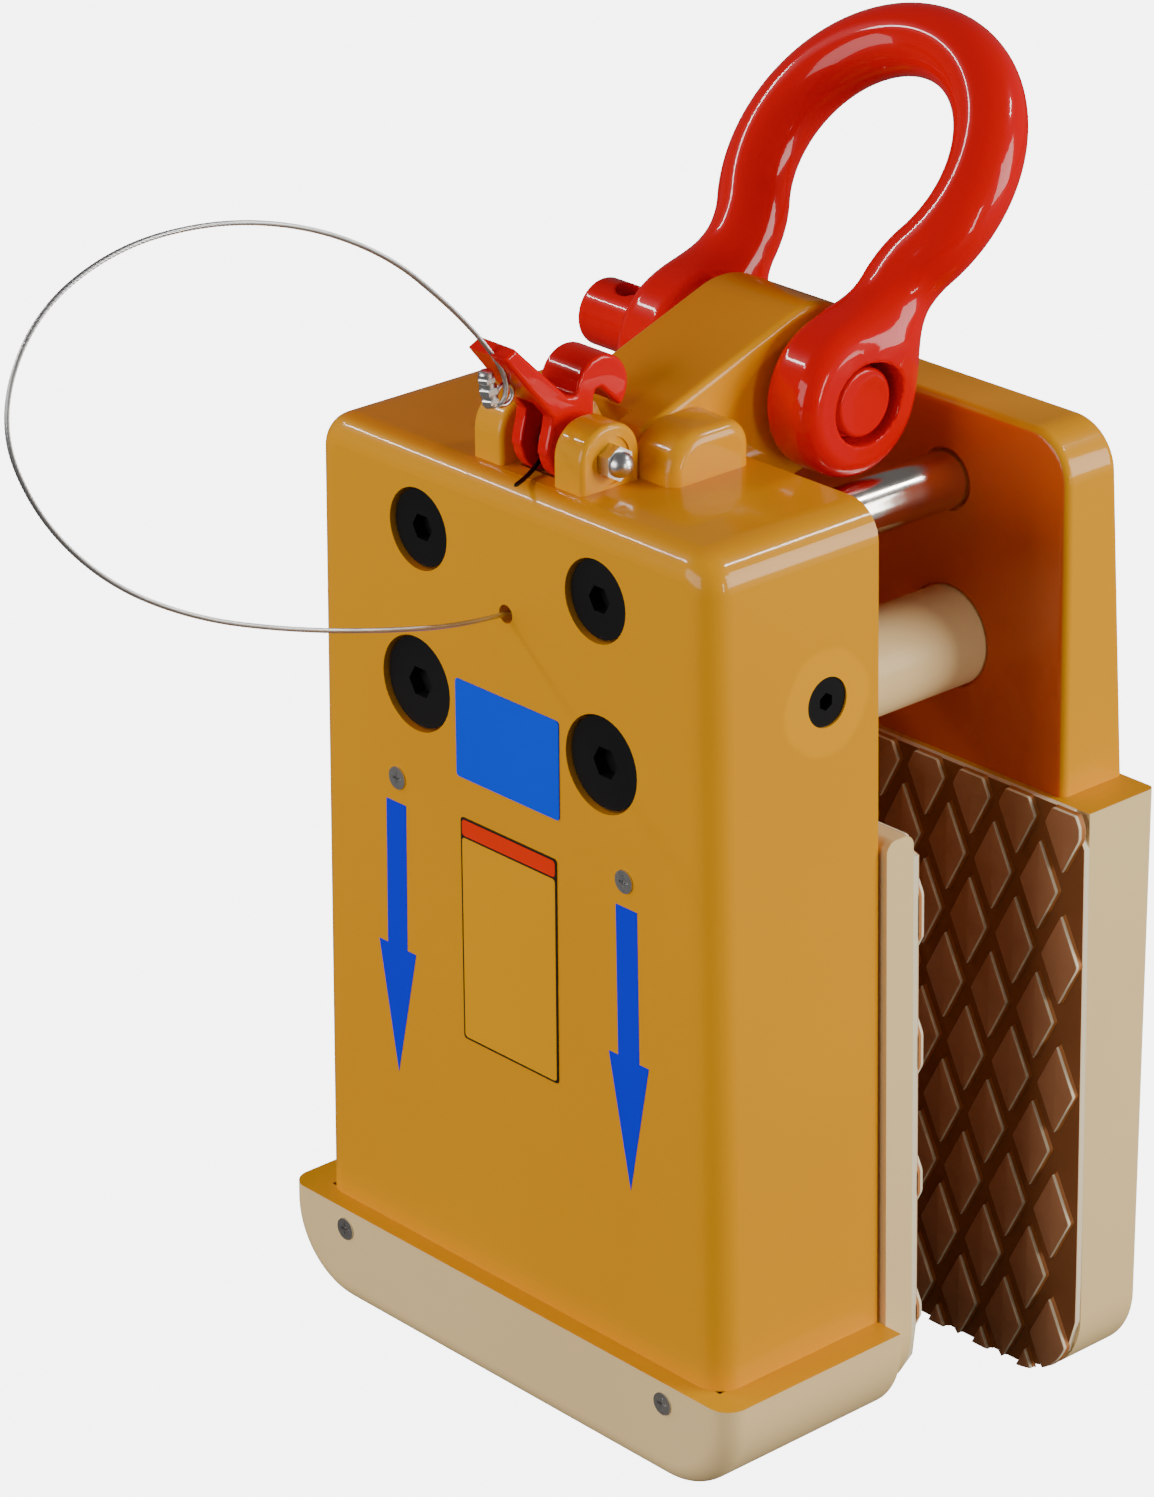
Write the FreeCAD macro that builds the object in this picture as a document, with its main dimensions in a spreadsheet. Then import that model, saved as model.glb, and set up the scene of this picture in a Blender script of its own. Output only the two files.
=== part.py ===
import FreeCAD, Part
import Sketcher
import math
import os
import re
from FreeCAD import Placement, Rotation, Vector

# Stone lifting clamp. Every piece is drawn in the casing's frame: X across, Y back from the
# casing's front face, Z up from the release cable's hole. Each piece's Placement then puts the
# origin in the middle of the rear jaw's foot, with +Z up.

doc = FreeCAD.newDocument("StoneLiftingClamp")
sheet = doc.addObject("Spreadsheet::Sheet", "Sizes")

# Driving sizes, in millimetres unless the name ends in share, degrees or count.
SIZES = {
    # frame of the whole clamp
    "hole_height": 281.0, "side_draft_share": 0.019, "running_gap": 0.08, "part_gap": 0.3,
    "seat_gap": 0.05, "cut_over": 2.0,
    # casing
    "casing_half": "=rail_inner + rail_thick + casing_wall", "casing_top": 42.3,
    "casing_drop": 232.7, "casing_deep": 69.0, "casing_wall": 8.0, "casing_corner": 12.0,
    "casing_side_edge": 9.0, "skirt_drop": 18.0, "skirt_half": 84.0, "skirt_front": 2.0,
    "lug_slot_half": "=lug_half + lug_slot_gap", "lug_slot_gap": 0.5, "lug_slot_front": 36.5,
    "tongue_half": 9.0, "tongue_back": 43.2, "cable_hole_radius": 3.0,
    # ears for the latch bolt
    "ear_inner": 11.5, "ear_outer": 24.7, "ear_front": 9.2, "ear_back": 32.8, "ear_top": 62.3,
    "ear_round": 11.0, "ear_edge": 1.8, "latch_axis_back": 21.0, "latch_axis_up": 51.0,
    "latch_bolt_radius": 3.0, "nut_seat_radius": 7.6, "nut_seat_deep": 0.6,
    # horn, the fixed stop that the hook closes over
    "horn_half": 5.4, "horn_tip_half": 0.7, "horn_front": 31.2, "horn_back": 43.0,
    "horn_tip_back": 33.6, "horn_tip_up": 62.4, "horn_tip_long": 1.6,
    # shoulders beside the lug
    "shoulder_outer": 38.8, "shoulder_front": 33.0, "shoulder_back": 66.0, "shoulder_top": 57.8,
    "shoulder_front_round": 13.0, "shoulder_back_round": 9.0, "shoulder_edge": 4.5,
    # bottom guard
    "guard_front": 6.6, "guard_half": 101.1, "guard_bottom": 268.0, "guard_round": 29.0,
    "guard_edge": 7.5, "guard_wall": 8.3, "guard_floor": 7.0, "guard_side_wall": 12.0,
    "guard_screw_side": 76.6, "guard_screw_drop": 240.0,
    # tie bars between casing and rear plate
    "upper_tie_side": 40.3, "upper_tie_up": 16.2, "upper_tie_radius": 9.5,
    "lower_tie_side": "=rail_inner - sleeve_radius - sleeve_gap", "sleeve_gap": 2.9,
    "lower_tie_drop": 36.1, "lower_tie_radius": 10.0, "sleeve_radius": 16.5,
    "tie_bore_front": 9.0, "tie_boss_wall": 3.2, "tie_boss_back": 66.0, "tie_seat_deep": 8.0,
    "tie_ring_wide": 1.0, "tie_ring_deep": 1.2,
    # screws of the tie bars
    "upper_head_radius": 12.5, "lower_head_radius": 15.0, "head_rim": 2.0, "head_cone": 3.9,
    "head_sink": 0.6, "tie_head_sink": 1.7, "recess_wide": 0.9, "tie_screw_radius": 6.0,
    "tie_screw_long": 24.0,
    "upper_key_radius": 4.6, "lower_key_radius": 5.4, "key_deep": 4.5,
    # small cross-head screws
    "cross_head_radius": 3.8, "cross_head_rise": 0.5, "cross_head_deep": 2.2,
    "cross_shank_radius": 1.9, "cross_slot_wide": 0.9, "cross_slot_long": 4.2,
    "cross_slot_deep": 1.3, "front_screw_side": 52.7, "front_screw_drop": 71.4,
    # side bolts
    "side_bolt_back": 47.5, "side_bolt_drop": 14.6, "side_head_radius": 8.0,
    "side_shank_radius": 4.0, "side_shank_long": 18.0, "side_key_radius": 2.9,
    # rear plate
    "plate_front": 149.0, "plate_thick_top": 22.0, "plate_thick_low": 28.4, "plate_half": 92.3,
    "plate_top": 43.0, "plate_low": 76.5, "plate_corner": 16.0, "plate_edge": 3.0,
    "tongue_side": 80.0, "tongue_front": 6.0, "tongue_thick": 14.0, "tongue_drop": 238.0,
    # rear jaw block and its pad
    "block_half": 106.0, "block_front": 146.9, "block_back_top": 177.0, "block_back_low": 173.0,
    "block_drop": 281.0, "block_round": 25.0, "block_edge": 2.5,
    # diamond pads
    "pad_thick": 2.4, "pad_border": 1.8, "diamond_high": 2.5, "diamond_half_wide": 8.0,
    "diamond_half_tall": 15.4, "diamond_pitch": 21.6, "diamond_step": 44.6,
    "diamond_first_drop": 5.8,
    # moving jaw
    "jaw_half": 93.0, "jaw_front": 70.3, "jaw_thick": 11.6, "jaw_top_drop": 67.0,
    "jaw_bottom_drop": 268.0, "jaw_round": 27.0, "jaw_edge": 4.0,
    # carrier of the moving jaw
    "cheek_inner": "=lug_half + cheek_gap", "cheek_gap": 0.8, "cheek_thick": 8.0,
    "cheek_front": 9.4, "cheek_top_drop": 58.6, "cheek_low_drop": 143.0, "web_thick": 8.3,
    "web_half": "=arm_inner + arm_thick", "web_low_drop": 204.0, "window_drop": 160.0,
    "arm_inner": "=cheek_inner + cheek_thick + arm_reach", "arm_reach": 24.4, "arm_thick": 7.0,
    "arm_half_tall": 8.0, "arm_front": 11.0, "upper_arm_drop": 90.0, "lower_arm_drop": 190.0,
    "jaw_screw_side": "=arm_inner - jaw_screw_inset", "jaw_screw_inset": 12.5,
    "jaw_screw_upper": 112.0, "jaw_screw_lower": 178.0, "jaw_screw_radius": 3.0,
    "jaw_screw_head": 5.5, "jaw_screw_head_long": 5.5, "jaw_screw_bite": 9.0,
    "jaw_key_radius": 2.6, "jaw_key_deep": 2.8,
    # rollers and rails of the jaw's slide
    "roller_radius": 6.0, "roller_long": 8.0, "roller_back": 18.0, "axle_radius": 3.0,
    "axle_head_radius": 4.8, "rail_inner": "=web_half + rail_gap", "rail_gap": 1.0,
    "rail_thick": 20.5, "rail_front": 10.2, "rail_back": 66.0, "rail_top_drop": 4.0,
    "rail_low_drop": 216.0, "rail_foot_inner": 46.5, "rail_foot_top": 65.0, "rail_foot_low": 78.0,
    "rail_foot_thick": 4.0,
    # travel of the lug and the jaw
    "lug_travel": 52.0, "jaw_travel_back": 40.0, "jaw_travel_down": 12.5,
    # lifting lug and cam pin
    "lug_half": 20.8, "lug_front": 37.0, "stem_back": 68.6, "stem_drop": 146.0,
    "lug_head_radius": 26.0, "lug_pin_back": 108.6, "lug_pin_up": 52.5, "lug_slope_degrees": 19.4,
    "lug_under_up": 14.0, "lug_recess_half": 9.4, "lug_recess_back": 43.6,
    "lug_recess_drop": 26.0, "lug_edge": 2.6, "cam_pin_radius": 6.0, "cam_pin_back": 58.8,
    "cam_pin_drop": 134.0, "cam_pin_half": 29.4, "cam_slot_gap": 0.15,
    # shackle
    "shackle_rod_radius": 11.6, "bow_radius": 44.0, "bow_rise": 71.7, "eye_mid": 34.1,
    "neck_radius": 31.0, "eye_radius": 25.0, "eye_inner": 22.0, "eye_outer": 45.0,
    "eye_edge": 5.0, "eye_foot": 15.0, "shackle_lean_degrees": 39.1, "pin_radius": 12.6,
    "pin_face_sink": 0.8, "pin_head_outer": 75.0, "pin_hole_radius": 5.0, "pin_hole_side": 61.0,
    "pin_edge": 1.4,
    # latch hook
    "hook_half": 8.5, "hook_slit_half": 3.5, "hook_disc_radius": 10.4, "nose_back": 32.6,
    "nose_up": 66.8, "nose_radius": 10.5, "hook_long": 40.0, "hook_slit_top": 60.5,
    # torsion spring, its spacer, and the latch bolt and nut
    "spring_wire": 1.2, "spring_radius": 5.1, "spring_pitch": 1.68, "spring_turns_count": 3,
    "spacer_radius": 4.0, "spring_tip_back": 3.0, "spring_tip_up": 41.9, "bolt_head_across": 10.0,
    "bolt_head_long": 4.0, "nut_across": 9.7, "nut_long": 4.6, "spring_leg_up": 59.4,
    "dome_radius": 4.2,
    # clip, eye and release cable
    "cable_radius": 0.8, "clip_radius": 2.8, "clip_long": 8.0, "clip_from_end": 1.5,
    "clip_eye_radius": 3.2, "clip_eye_back": 0.5, "clip_eye_up": 70.2, "ferrule_radius": 4.3,
    "ferrule_long": 9.0,
}

for row, (alias, value) in enumerate(SIZES.items(), start=1):
    sheet.set("A%d" % row, alias)
    sheet.setAlias("B%d" % row, alias)
for row, value in enumerate(SIZES.values(), start=1):
    sheet.set("B%d" % row, str(value))
doc.recompute()


def bound(text):
    """Expression in which each size's name points at its cell."""
    return re.sub(r"[a-z_]+", lambda word: "Sizes." + word.group(0)
                  if word.group(0) in SIZES else word.group(0), text)


def val(text):
    """Number that an expression of sizes gives now."""
    return float(sheet.evalExpression(bound(text)))


FRAME_SHIFT = ("0", "-(block_front + block_back_low) / 2", "hole_height")
parts = []


def seat(piece, shift=FRAME_SHIFT):
    """Bind a piece's Placement to a shift written in sizes."""
    for axis, text in zip("xyz", shift):
        piece.setExpression("Placement.Base." + axis, bound(text))


def keep(piece, label):
    """Name a finished sub-part and put it in the clamp's frame."""
    piece.Label = label
    seat(piece)
    parts.append(piece)
    return piece


def new_body(label):
    """Empty body for one sub-part; it may hold mirrored twins."""
    made = doc.addObject("PartDesign::Body", label)
    made.AllowCompound = True
    return keep(made, label)


def sketch(body, plane, start, loops, circles=()):
    """Sketch on one of the body's origin planes, moved by start along the plane's normal."""
    drawn = body.newObject("Sketcher::SketchObject", body.Name + "_sketch")
    flat = next(f for f in body.Origin.OriginFeatures if f.Role == plane + "_Plane")
    drawn.AttachmentSupport = [(flat, "")]
    drawn.MapMode = "FlatFace"
    drawn.setExpression("AttachmentOffset.Base.z", bound(start))
    for loop in loops:
        first = drawn.GeometryCount
        spots = [Vector(val(a), val(b), 0) for a, b in loop]
        for i, spot in enumerate(spots):
            drawn.addGeometry(Part.LineSegment(spot, spots[(i + 1) % len(spots)]))
        for i, pair in enumerate(loop):
            following = first + (i + 1) % len(loop)
            drawn.addConstraint(Sketcher.Constraint("Coincident", first + i, 2, following, 1))
            for kind, text in zip(("DistanceX", "DistanceY"), pair):
                fix(drawn, Sketcher.Constraint(kind, -1, 1, first + i, 1, val(text)), text)
    for a, b, radius in circles:
        ring = Part.Circle(Vector(val(a), val(b), 0), Vector(0, 0, 1), val(radius))
        index = drawn.addGeometry(ring)
        fix(drawn, Sketcher.Constraint("DistanceX", -1, 1, index, 3, val(a)), a)
        fix(drawn, Sketcher.Constraint("DistanceY", -1, 1, index, 3, val(b)), b)
        fix(drawn, Sketcher.Constraint("Radius", index, val(radius)), radius)
    return drawn


def fix(drawn, constraint, text):
    """Add a constraint and bind its value to an expression of sizes."""
    number = drawn.addConstraint(constraint)
    drawn.setExpression("Constraints[%d]" % number, bound(text))


# A span runs from low to high along +X, +Y or +Z. The XZ plane's normal is -Y, so there the
# sketch lies at the high end.
def pad(body, plane, low, high, loops=(), circles=()):
    """Add a prism between low and high."""
    start = "-(%s)" % high if plane == "XZ" else low
    drawn = sketch(body, plane, start, loops, circles)
    made = body.newObject("PartDesign::Pad", body.Name + "_pad")
    made.Profile = drawn
    made.setExpression("Length", bound("(%s) - (%s)" % (high, low)))
    doc.recompute()
    return made


def pocket(body, plane, low, high, loops=(), circles=()):
    """Cut a prism between low and high, and see that it removed material."""
    before = body.Shape.Volume
    start = "-(%s)" % high if plane == "XZ" else low
    drawn = sketch(body, plane, start, loops, circles)
    made = body.newObject("PartDesign::Pocket", body.Name + "_pocket")
    made.Profile = drawn
    made.Reversed = True
    made.setExpression("Length", bound("(%s) - (%s)" % (high, low)))
    doc.recompute()
    if not body.Shape.Volume < before:
        raise RuntimeError(body.Name + ": a pocket cuts nothing")
    return made


def fillet(body, radius, test, label="round"):
    """Round the edges of the body's last feature that pass a test on their middle and run."""
    base = body.Tip
    names = []
    for number, edge in enumerate(base.Shape.Edges, start=1):
        if test(edge.CenterOfMass, edge.tangentAt(edge.FirstParameter), edge):
            names.append("Edge%d" % number)
    if not names:
        raise RuntimeError(body.Name + ": no edge to round")
    made = body.newObject("PartDesign::Fillet", body.Name + "_" + label)
    made.Base = (base, names)
    made.setExpression("Radius", bound(radius))
    doc.recompute()
    if "Invalid" in made.State or made.Shape.isNull() or not made.Shape.isValid():
        raise RuntimeError(body.Name + ": rounding failed at " + radius)
    return made


def both_sides(body, features):
    """Mirror features across the middle plane."""
    made = body.newObject("PartDesign::Mirrored", body.Name + "_mirror")
    made.Originals = features
    made.MirrorPlane = (next(f for f in body.Origin.OriginFeatures
                             if f.Role == "YZ_Plane"), [""])
    body.Tip = made
    doc.recompute()
    return made


def rectangle(low_a, high_a, low_b, high_b):
    """Loop of a rectangle between two spans."""
    return [(low_a, low_b), (high_a, low_b), (high_a, high_b), (low_a, high_b)]


def flared(half, top, drop, inset="0"):
    """Loop of a face whose sides spread downward by the casting's draft."""
    upper = "(%s - side_draft_share * (%s) - (%s))" % (half, top, inset)
    lower = "(%s + side_draft_share * (%s) - (%s))" % (half, drop, inset)
    return [("-" + lower, "-(%s)" % drop), (lower, "-(%s)" % drop),
            (upper, top), ("-" + upper, top)]


TURNS = {"x": Rotation(Vector(0, 1, 0), 90), "y": Rotation(Vector(1, 0, 0), -90),
         "z": Rotation()}
NEAR = 0.2


def primitive(kind, axis, at, **sizes):
    """Part primitive with its sizes and its start bound, standing along an axis."""
    made = doc.addObject(kind, "primitive")
    made.Placement = Placement(Vector(), TURNS[axis])
    seat(made, at)
    for name, text in sizes.items():
        if name == "count":
            made.Polygon = text
        else:
            made.setExpression(name, bound(text))
    return made


def rod(axis, at, radius, length):
    """Cylinder that starts at a place and runs along an axis."""
    return primitive("Part::Cylinder", axis, at, Radius=radius, Height=length)


def joined(kind, shapes):
    """Boolean of two or more objects: a cut takes the rest from the first."""
    if kind == "Part::Cut":
        made = doc.addObject(kind, "cut")
        made.Base = shapes[0]
        made.Tool = shapes[1] if len(shapes) == 2 else joined("Part::MultiFuse", shapes[1:])
        return made
    made = doc.addObject(kind, "joined")
    if kind == "Part::Compound":
        made.Links = shapes
    else:
        made.Shapes = shapes
    return made


def along(axis, at, step):
    """Place moved by a step along an axis."""
    return tuple("(%s) + (%s)" % (text, step) if name == axis else text
                 for name, text in zip("xyz", at))


# Countersunk or cap screw driven along +Y: its head's face stands at the given place.
def socket_screw(at, head, rim, cone, shank, length, key, axis="y", way=1):
    """Screw with a rim, a cone and a shank, and a six-sided key hole."""
    sign = "" if way > 0 else "-"
    back = "0" if way > 0 else "-1"
    rim_at = along(axis, at, "%s * (%s)" % (back, rim))
    cone_at = along(axis, at, "%s(%s)" % (sign, rim))
    shank_from = "%s(%s + %s)" % (sign, rim, cone)
    flare = primitive("Part::Cone", axis, cone_at, Radius1=head, Radius2=shank, Height=cone)
    if way < 0:
        flare_at = along(axis, at, "-(%s) - (%s)" % (rim, cone))
        flare = primitive("Part::Cone", axis, flare_at, Radius1=shank, Radius2=head,
                          Height=cone)
    shank_at = along(axis, at, shank_from if way > 0 else "%s - (%s)" % (shank_from, length))
    solid = joined("Part::MultiFuse", [rod(axis, rim_at, head, rim), flare,
                                       rod(axis, shank_at, shank, length)])
    key_at = along(axis, at, "-cut_over" if way > 0 else "-key_deep")
    hole = primitive("Part::Prism", axis, key_at, Circumradius=key, Height="key_deep + cut_over",
                     count=6)
    return joined("Part::Cut", [solid, hole])


def cross_screw(at):
    """Small raised screw with a cross slot, driven along +Y from the given face."""
    front = along("y", at, "-cross_head_rise")
    head = rod("y", front, "cross_head_radius", "cross_head_rise")
    flare = primitive("Part::Cone", "y", at, Radius1="cross_head_radius",
                      Radius2="cross_shank_radius", Height="cross_head_deep")
    shank = rod("y", at, "cross_shank_radius", "guard_wall + cross_head_deep")
    bars = []
    for wide, tall in (("cross_slot_long", "cross_slot_wide"),
                       ("cross_slot_wide", "cross_slot_long")):
        bar = doc.addObject("Part::Box", "slot")
        seat(bar, ("%s - %s / 2" % (at[0], wide), "%s - cut_over" % front[1],
                   "%s - %s / 2" % (at[2], tall)))
        bar.setExpression("Length", bound(wide))
        bar.setExpression("Height", bound(tall))
        bar.setExpression("Width", bound("cut_over + cross_slot_deep"))
        bars.append(bar)
    return joined("Part::Cut", [joined("Part::MultiFuse", [head, flare, shank])] + bars)


def pair(label, make):
    """One node that holds the same fastener on both sides."""
    return keep(joined("Part::Compound", [make("-"), make("")]), label)


# Casing: one casting with sloping sides, open behind and below, and a slot for the lug.
casing = new_body("casing")
pad(casing, "XZ", "0", "casing_deep", [flared("casing_half", "casing_top", "casing_drop")])
fillet(casing, "casing_corner", lambda c, t, e: abs(t.y) > 1 - NEAR and c.z > 0)
fillet(casing, "casing_side_edge", lambda c, t, e: c.y < NEAR and c.z > -val("casing_drop") + NEAR)
pocket(casing, "XZ", "casing_wall", "casing_deep + cut_over",
       [flared("casing_half", "casing_top - casing_wall", "casing_drop + cut_over",
               "casing_wall")])
for side in ("", "-"):
    for tall, across in (("upper_tie_up", "upper_tie"), ("-lower_tie_drop", "lower_tie")):
        pad(casing, "XZ", "casing_wall - cut_over", "tie_boss_back",
            circles=[(side + across + "_side", tall, across + "_radius + tie_boss_wall")])
pad(casing, "XZ", "skirt_front", "casing_wall",
    [rectangle("-skirt_half", "skirt_half", "-casing_drop - skirt_drop", "-casing_drop")])
pad(casing, "XY", "casing_top - casing_wall", "casing_top",
    [rectangle("-tongue_half", "tongue_half", "casing_wall", "tongue_back")])
for side in ("-", ""):
    inner, outer = side + "ear_inner", side + "ear_outer"
    low, high = (outer, inner) if side else (inner, outer)
    pad(casing, "YZ", low, high,
        [rectangle("ear_front", "ear_back", "casing_top - cut_over", "ear_top")])
    inner, outer = side + "lug_slot_half", side + "shoulder_outer"
    low, high = (outer, inner) if side else (inner, outer)
    pad(casing, "YZ", low, high,
        [rectangle("shoulder_front", "shoulder_back", "casing_top - cut_over", "shoulder_top")])
fillet(casing, "ear_round", lambda c, t, e: abs(t.x) > 1 - NEAR and
       abs(c.z - val("ear_top")) < NEAR)
fillet(casing, "shoulder_front_round", lambda c, t, e: abs(t.x) > 1 - NEAR and
       abs(c.z - val("shoulder_top")) < NEAR and abs(c.y - val("shoulder_front")) < NEAR)
fillet(casing, "shoulder_back_round", lambda c, t, e: abs(t.x) > 1 - NEAR and
       abs(c.z - val("shoulder_top")) < NEAR and abs(c.y - val("shoulder_back")) < NEAR)
fillet(casing, "shoulder_edge", lambda c, t, e: c.z > val("casing_top") + NEAR and
       abs(abs(c.x) - val("shoulder_outer")) < NEAR)
fillet(casing, "ear_edge", lambda c, t, e: c.z > val("casing_top") + NEAR and
       (abs(abs(c.x) - val("ear_outer")) < NEAR or abs(abs(c.x) - val("ear_inner")) < NEAR))
pocket(casing, "XY", "casing_top - casing_wall - cut_over", "shoulder_top + cut_over",
       [[("-lug_slot_half", "tongue_back"), ("-tongue_half", "tongue_back"),
         ("tongue_half", "tongue_back"), ("lug_slot_half", "tongue_back"),
         ("lug_slot_half", "casing_deep + cut_over"),
         ("-lug_slot_half", "casing_deep + cut_over")]])
for side in ("-", ""):
    inner, outer = side + "tongue_half", side + "lug_slot_half"
    low, high = (outer, inner) if side else (inner, outer)
    pocket(casing, "XY", "casing_top - casing_wall - cut_over", "casing_top + cut_over",
           [rectangle(low, high, "lug_slot_front", "tongue_back")])
pocket(casing, "XZ", "-cut_over", "casing_wall + cut_over",
       circles=[("0", "0", "cable_hole_radius")])
for side in ("", "-"):
    for tall, across in (("upper_tie_up", "upper"), ("-lower_tie_drop", "lower")):
        spot = (side + across + "_tie_side", tall)
        pocket(casing, "XZ", "tie_bore_front", "tie_boss_back + cut_over",
               circles=[spot + (across + "_tie_radius + running_gap",)])
        pocket(casing, "XZ", "-cut_over", "tie_bore_front + cut_over",
               circles=[spot + ("tie_screw_radius + running_gap",)])
        pocket(casing, "XZ", "-cut_over", "tie_head_sink + head_rim + head_cone",
               circles=[spot + (across + "_head_radius + recess_wide",)])
    pocket(casing, "XZ", "-cut_over", "casing_wall + cut_over",
           circles=[(side + "front_screw_side", "-front_screw_drop",
                     "cross_head_radius + seat_gap")])
    pocket(casing, "XZ", "0", "casing_wall + cut_over",
           circles=[(side + "guard_screw_side", "-guard_screw_drop",
                     "cross_shank_radius + seat_gap")])
pocket(casing, "YZ", "-casing_half - cut_over", "casing_half + cut_over * 2",
       circles=[("side_bolt_back", "-side_bolt_drop", "side_head_radius + seat_gap")])
pocket(casing, "YZ", "-ear_outer - cut_over", "ear_outer + cut_over",
       circles=[("latch_axis_back", "latch_axis_up", "latch_bolt_radius + running_gap")])
pocket(casing, "YZ", "ear_outer - nut_seat_deep", "ear_outer + cut_over",
       circles=[("latch_axis_back", "latch_axis_up", "nut_seat_radius")])

pocket(casing, "YZ", "-hook_half - part_gap * 2", "hook_half + part_gap * 2",
       circles=[("latch_axis_back", "latch_axis_up", "hook_disc_radius + part_gap * 2")])

# Horn: a leaning spike on the casing's tongue, which the hook's notch closes over.
horn = casing.newObject("PartDesign::AdditiveLoft", "casing_horn")
horn.Profile = sketch(casing, "XY", "casing_top - cut_over",
                      [rectangle("-horn_half", "horn_half", "horn_front", "horn_back")])
horn.Sections = [sketch(casing, "XY", "horn_tip_up",
                        [rectangle("-horn_tip_half", "horn_tip_half", "horn_tip_back",
                                   "horn_tip_back + horn_tip_long")])]
doc.recompute()

# Bottom guard: a cap screwed under the casing, proud of it in front and at the sides.
guard = new_body("bottom_guard")
pad(guard, "XZ", "-guard_front", "casing_deep",
    [flared("guard_half", "-casing_drop", "guard_bottom")])
fillet(guard, "guard_round", lambda c, t, e: abs(t.y) > 1 - NEAR and
       c.z < -val("casing_drop") - 1)
fillet(guard, "guard_edge", lambda c, t, e: c.y < -val("guard_front") + NEAR and
       c.z < -val("casing_drop") - NEAR)
pocket(guard, "XZ", "casing_wall - guard_wall + cut_over", "casing_deep + cut_over",
       [flared("guard_half", "-casing_drop + cut_over", "guard_bottom - guard_floor",
               "guard_side_wall")])
for side in ("", "-"):
    pocket(guard, "XZ", "-guard_front - cut_over", "casing_wall",
           circles=[(side + "guard_screw_side", "-guard_screw_drop",
                     "cross_head_radius + seat_gap")])

# Rear plate: the fixed plate that the tie bars hold, with a tongue down into the jaw block.
plate = new_body("rear_plate")
pad(plate, "XZ", "plate_front", "plate_front + plate_thick_low",
    [flared("plate_half", "plate_top", "plate_low")])
pocket(plate, "YZ", "-plate_half * 2", "plate_half * 2",
       [[("plate_front + plate_thick_top", "plate_top + cut_over"),
         ("plate_front + plate_thick_top", "plate_top"),
         ("plate_front + plate_thick_low", "-plate_low"),
         ("plate_front + plate_thick_low + cut_over", "-plate_low"),
         ("plate_front + plate_thick_low + cut_over", "plate_top + cut_over")]])
fillet(plate, "plate_corner", lambda c, t, e: abs(t.y) > 1 - NEAR and c.z > 0)
fillet(plate, "plate_edge", lambda c, t, e: c.z > -val("plate_low") + NEAR and
       abs(t.y) < NEAR)
pad(plate, "XZ", "plate_front + tongue_front", "plate_front + tongue_front + tongue_thick",
    [rectangle("-tongue_side", "tongue_side", "-tongue_drop", "-plate_low + cut_over")])
for side in ("", "-"):
    for tall, across in (("upper_tie_up", "upper"), ("-lower_tie_drop", "lower")):
        spot = (side + across + "_tie_side", tall)
        pocket(plate, "XZ", "plate_front - cut_over", "plate_front + tie_seat_deep",
               circles=[spot + (across + "_tie_radius + running_gap",)])
        pocket(plate, "XZ", "plate_front - cut_over", "plate_front + plate_thick_low",
               circles=[spot + ("tie_screw_radius + running_gap",)])
        pocket(plate, "XZ",
               "plate_front + plate_thick_top - head_rim - head_cone - head_sink",
               "plate_front + plate_thick_low + cut_over",
               circles=[spot + ("upper_head_radius + recess_wide",)])
    pocket(plate, "XZ", "plate_front - cut_over", "plate_front + tie_ring_deep",
           circles=[(side + "upper_tie_side", "upper_tie_up", "upper_tie_radius + tie_ring_wide")])
    pocket(plate, "XZ", "plate_front - cut_over", "plate_front + tie_ring_deep",
           circles=[(side + "lower_tie_side", "-lower_tie_drop", "sleeve_radius + tie_ring_wide")])

# Rear jaw block: a thick shoe round the plate's tongue, on which the clamp stands.
block = new_body("rear_jaw_block")
pad(block, "XZ", "block_front", "block_back_top", [flared("block_half", "-plate_low",
                                                           "block_drop")])
pocket(block, "YZ", "-block_half * 2", "block_half * 2",
       [[("block_back_top", "-plate_low"), ("block_back_low", "-block_drop - cut_over"),
         ("block_back_top + cut_over", "-block_drop - cut_over"),
         ("block_back_top + cut_over", "-plate_low")]])
fillet(block, "block_round", lambda c, t, e: abs(t.y) > 1 - NEAR and
       c.z < -val("plate_low") - 1)
fillet(block, "block_edge", lambda c, t, e: c.y > val("block_front") + 1 and
       c.z < -val("plate_low") - NEAR and abs(t.y) < NEAR * 2)
pocket(block, "XZ", "plate_front + tongue_front - seat_gap",
       "plate_front + tongue_front + tongue_thick + seat_gap",
       [rectangle("-tongue_side - seat_gap", "tongue_side + seat_gap",
                  "-tongue_drop - seat_gap", "-plate_low + cut_over")])

# Moving jaw: a plain thick plate with round lower corners.
jaw = new_body("moving_jaw")
pad(jaw, "XZ", "jaw_front", "jaw_front + jaw_thick",
    [flared("jaw_half", "-jaw_top_drop", "jaw_bottom_drop")])
fillet(jaw, "jaw_round", lambda c, t, e: abs(t.y) > 1 - NEAR and c.z < -val("jaw_top_drop") - 1)
fillet(jaw, "jaw_edge", lambda c, t, e: abs(t.x) > 1 - NEAR and c.z > -val("jaw_top_drop") - 1)
for side in ("", "-"):
    for drop in ("jaw_screw_upper", "jaw_screw_lower"):
        pocket(jaw, "XZ", "jaw_front - cut_over", "jaw_front + jaw_screw_bite + seat_gap",
               circles=[(side + "jaw_screw_side", "-" + drop, "jaw_screw_radius + seat_gap")])


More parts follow.
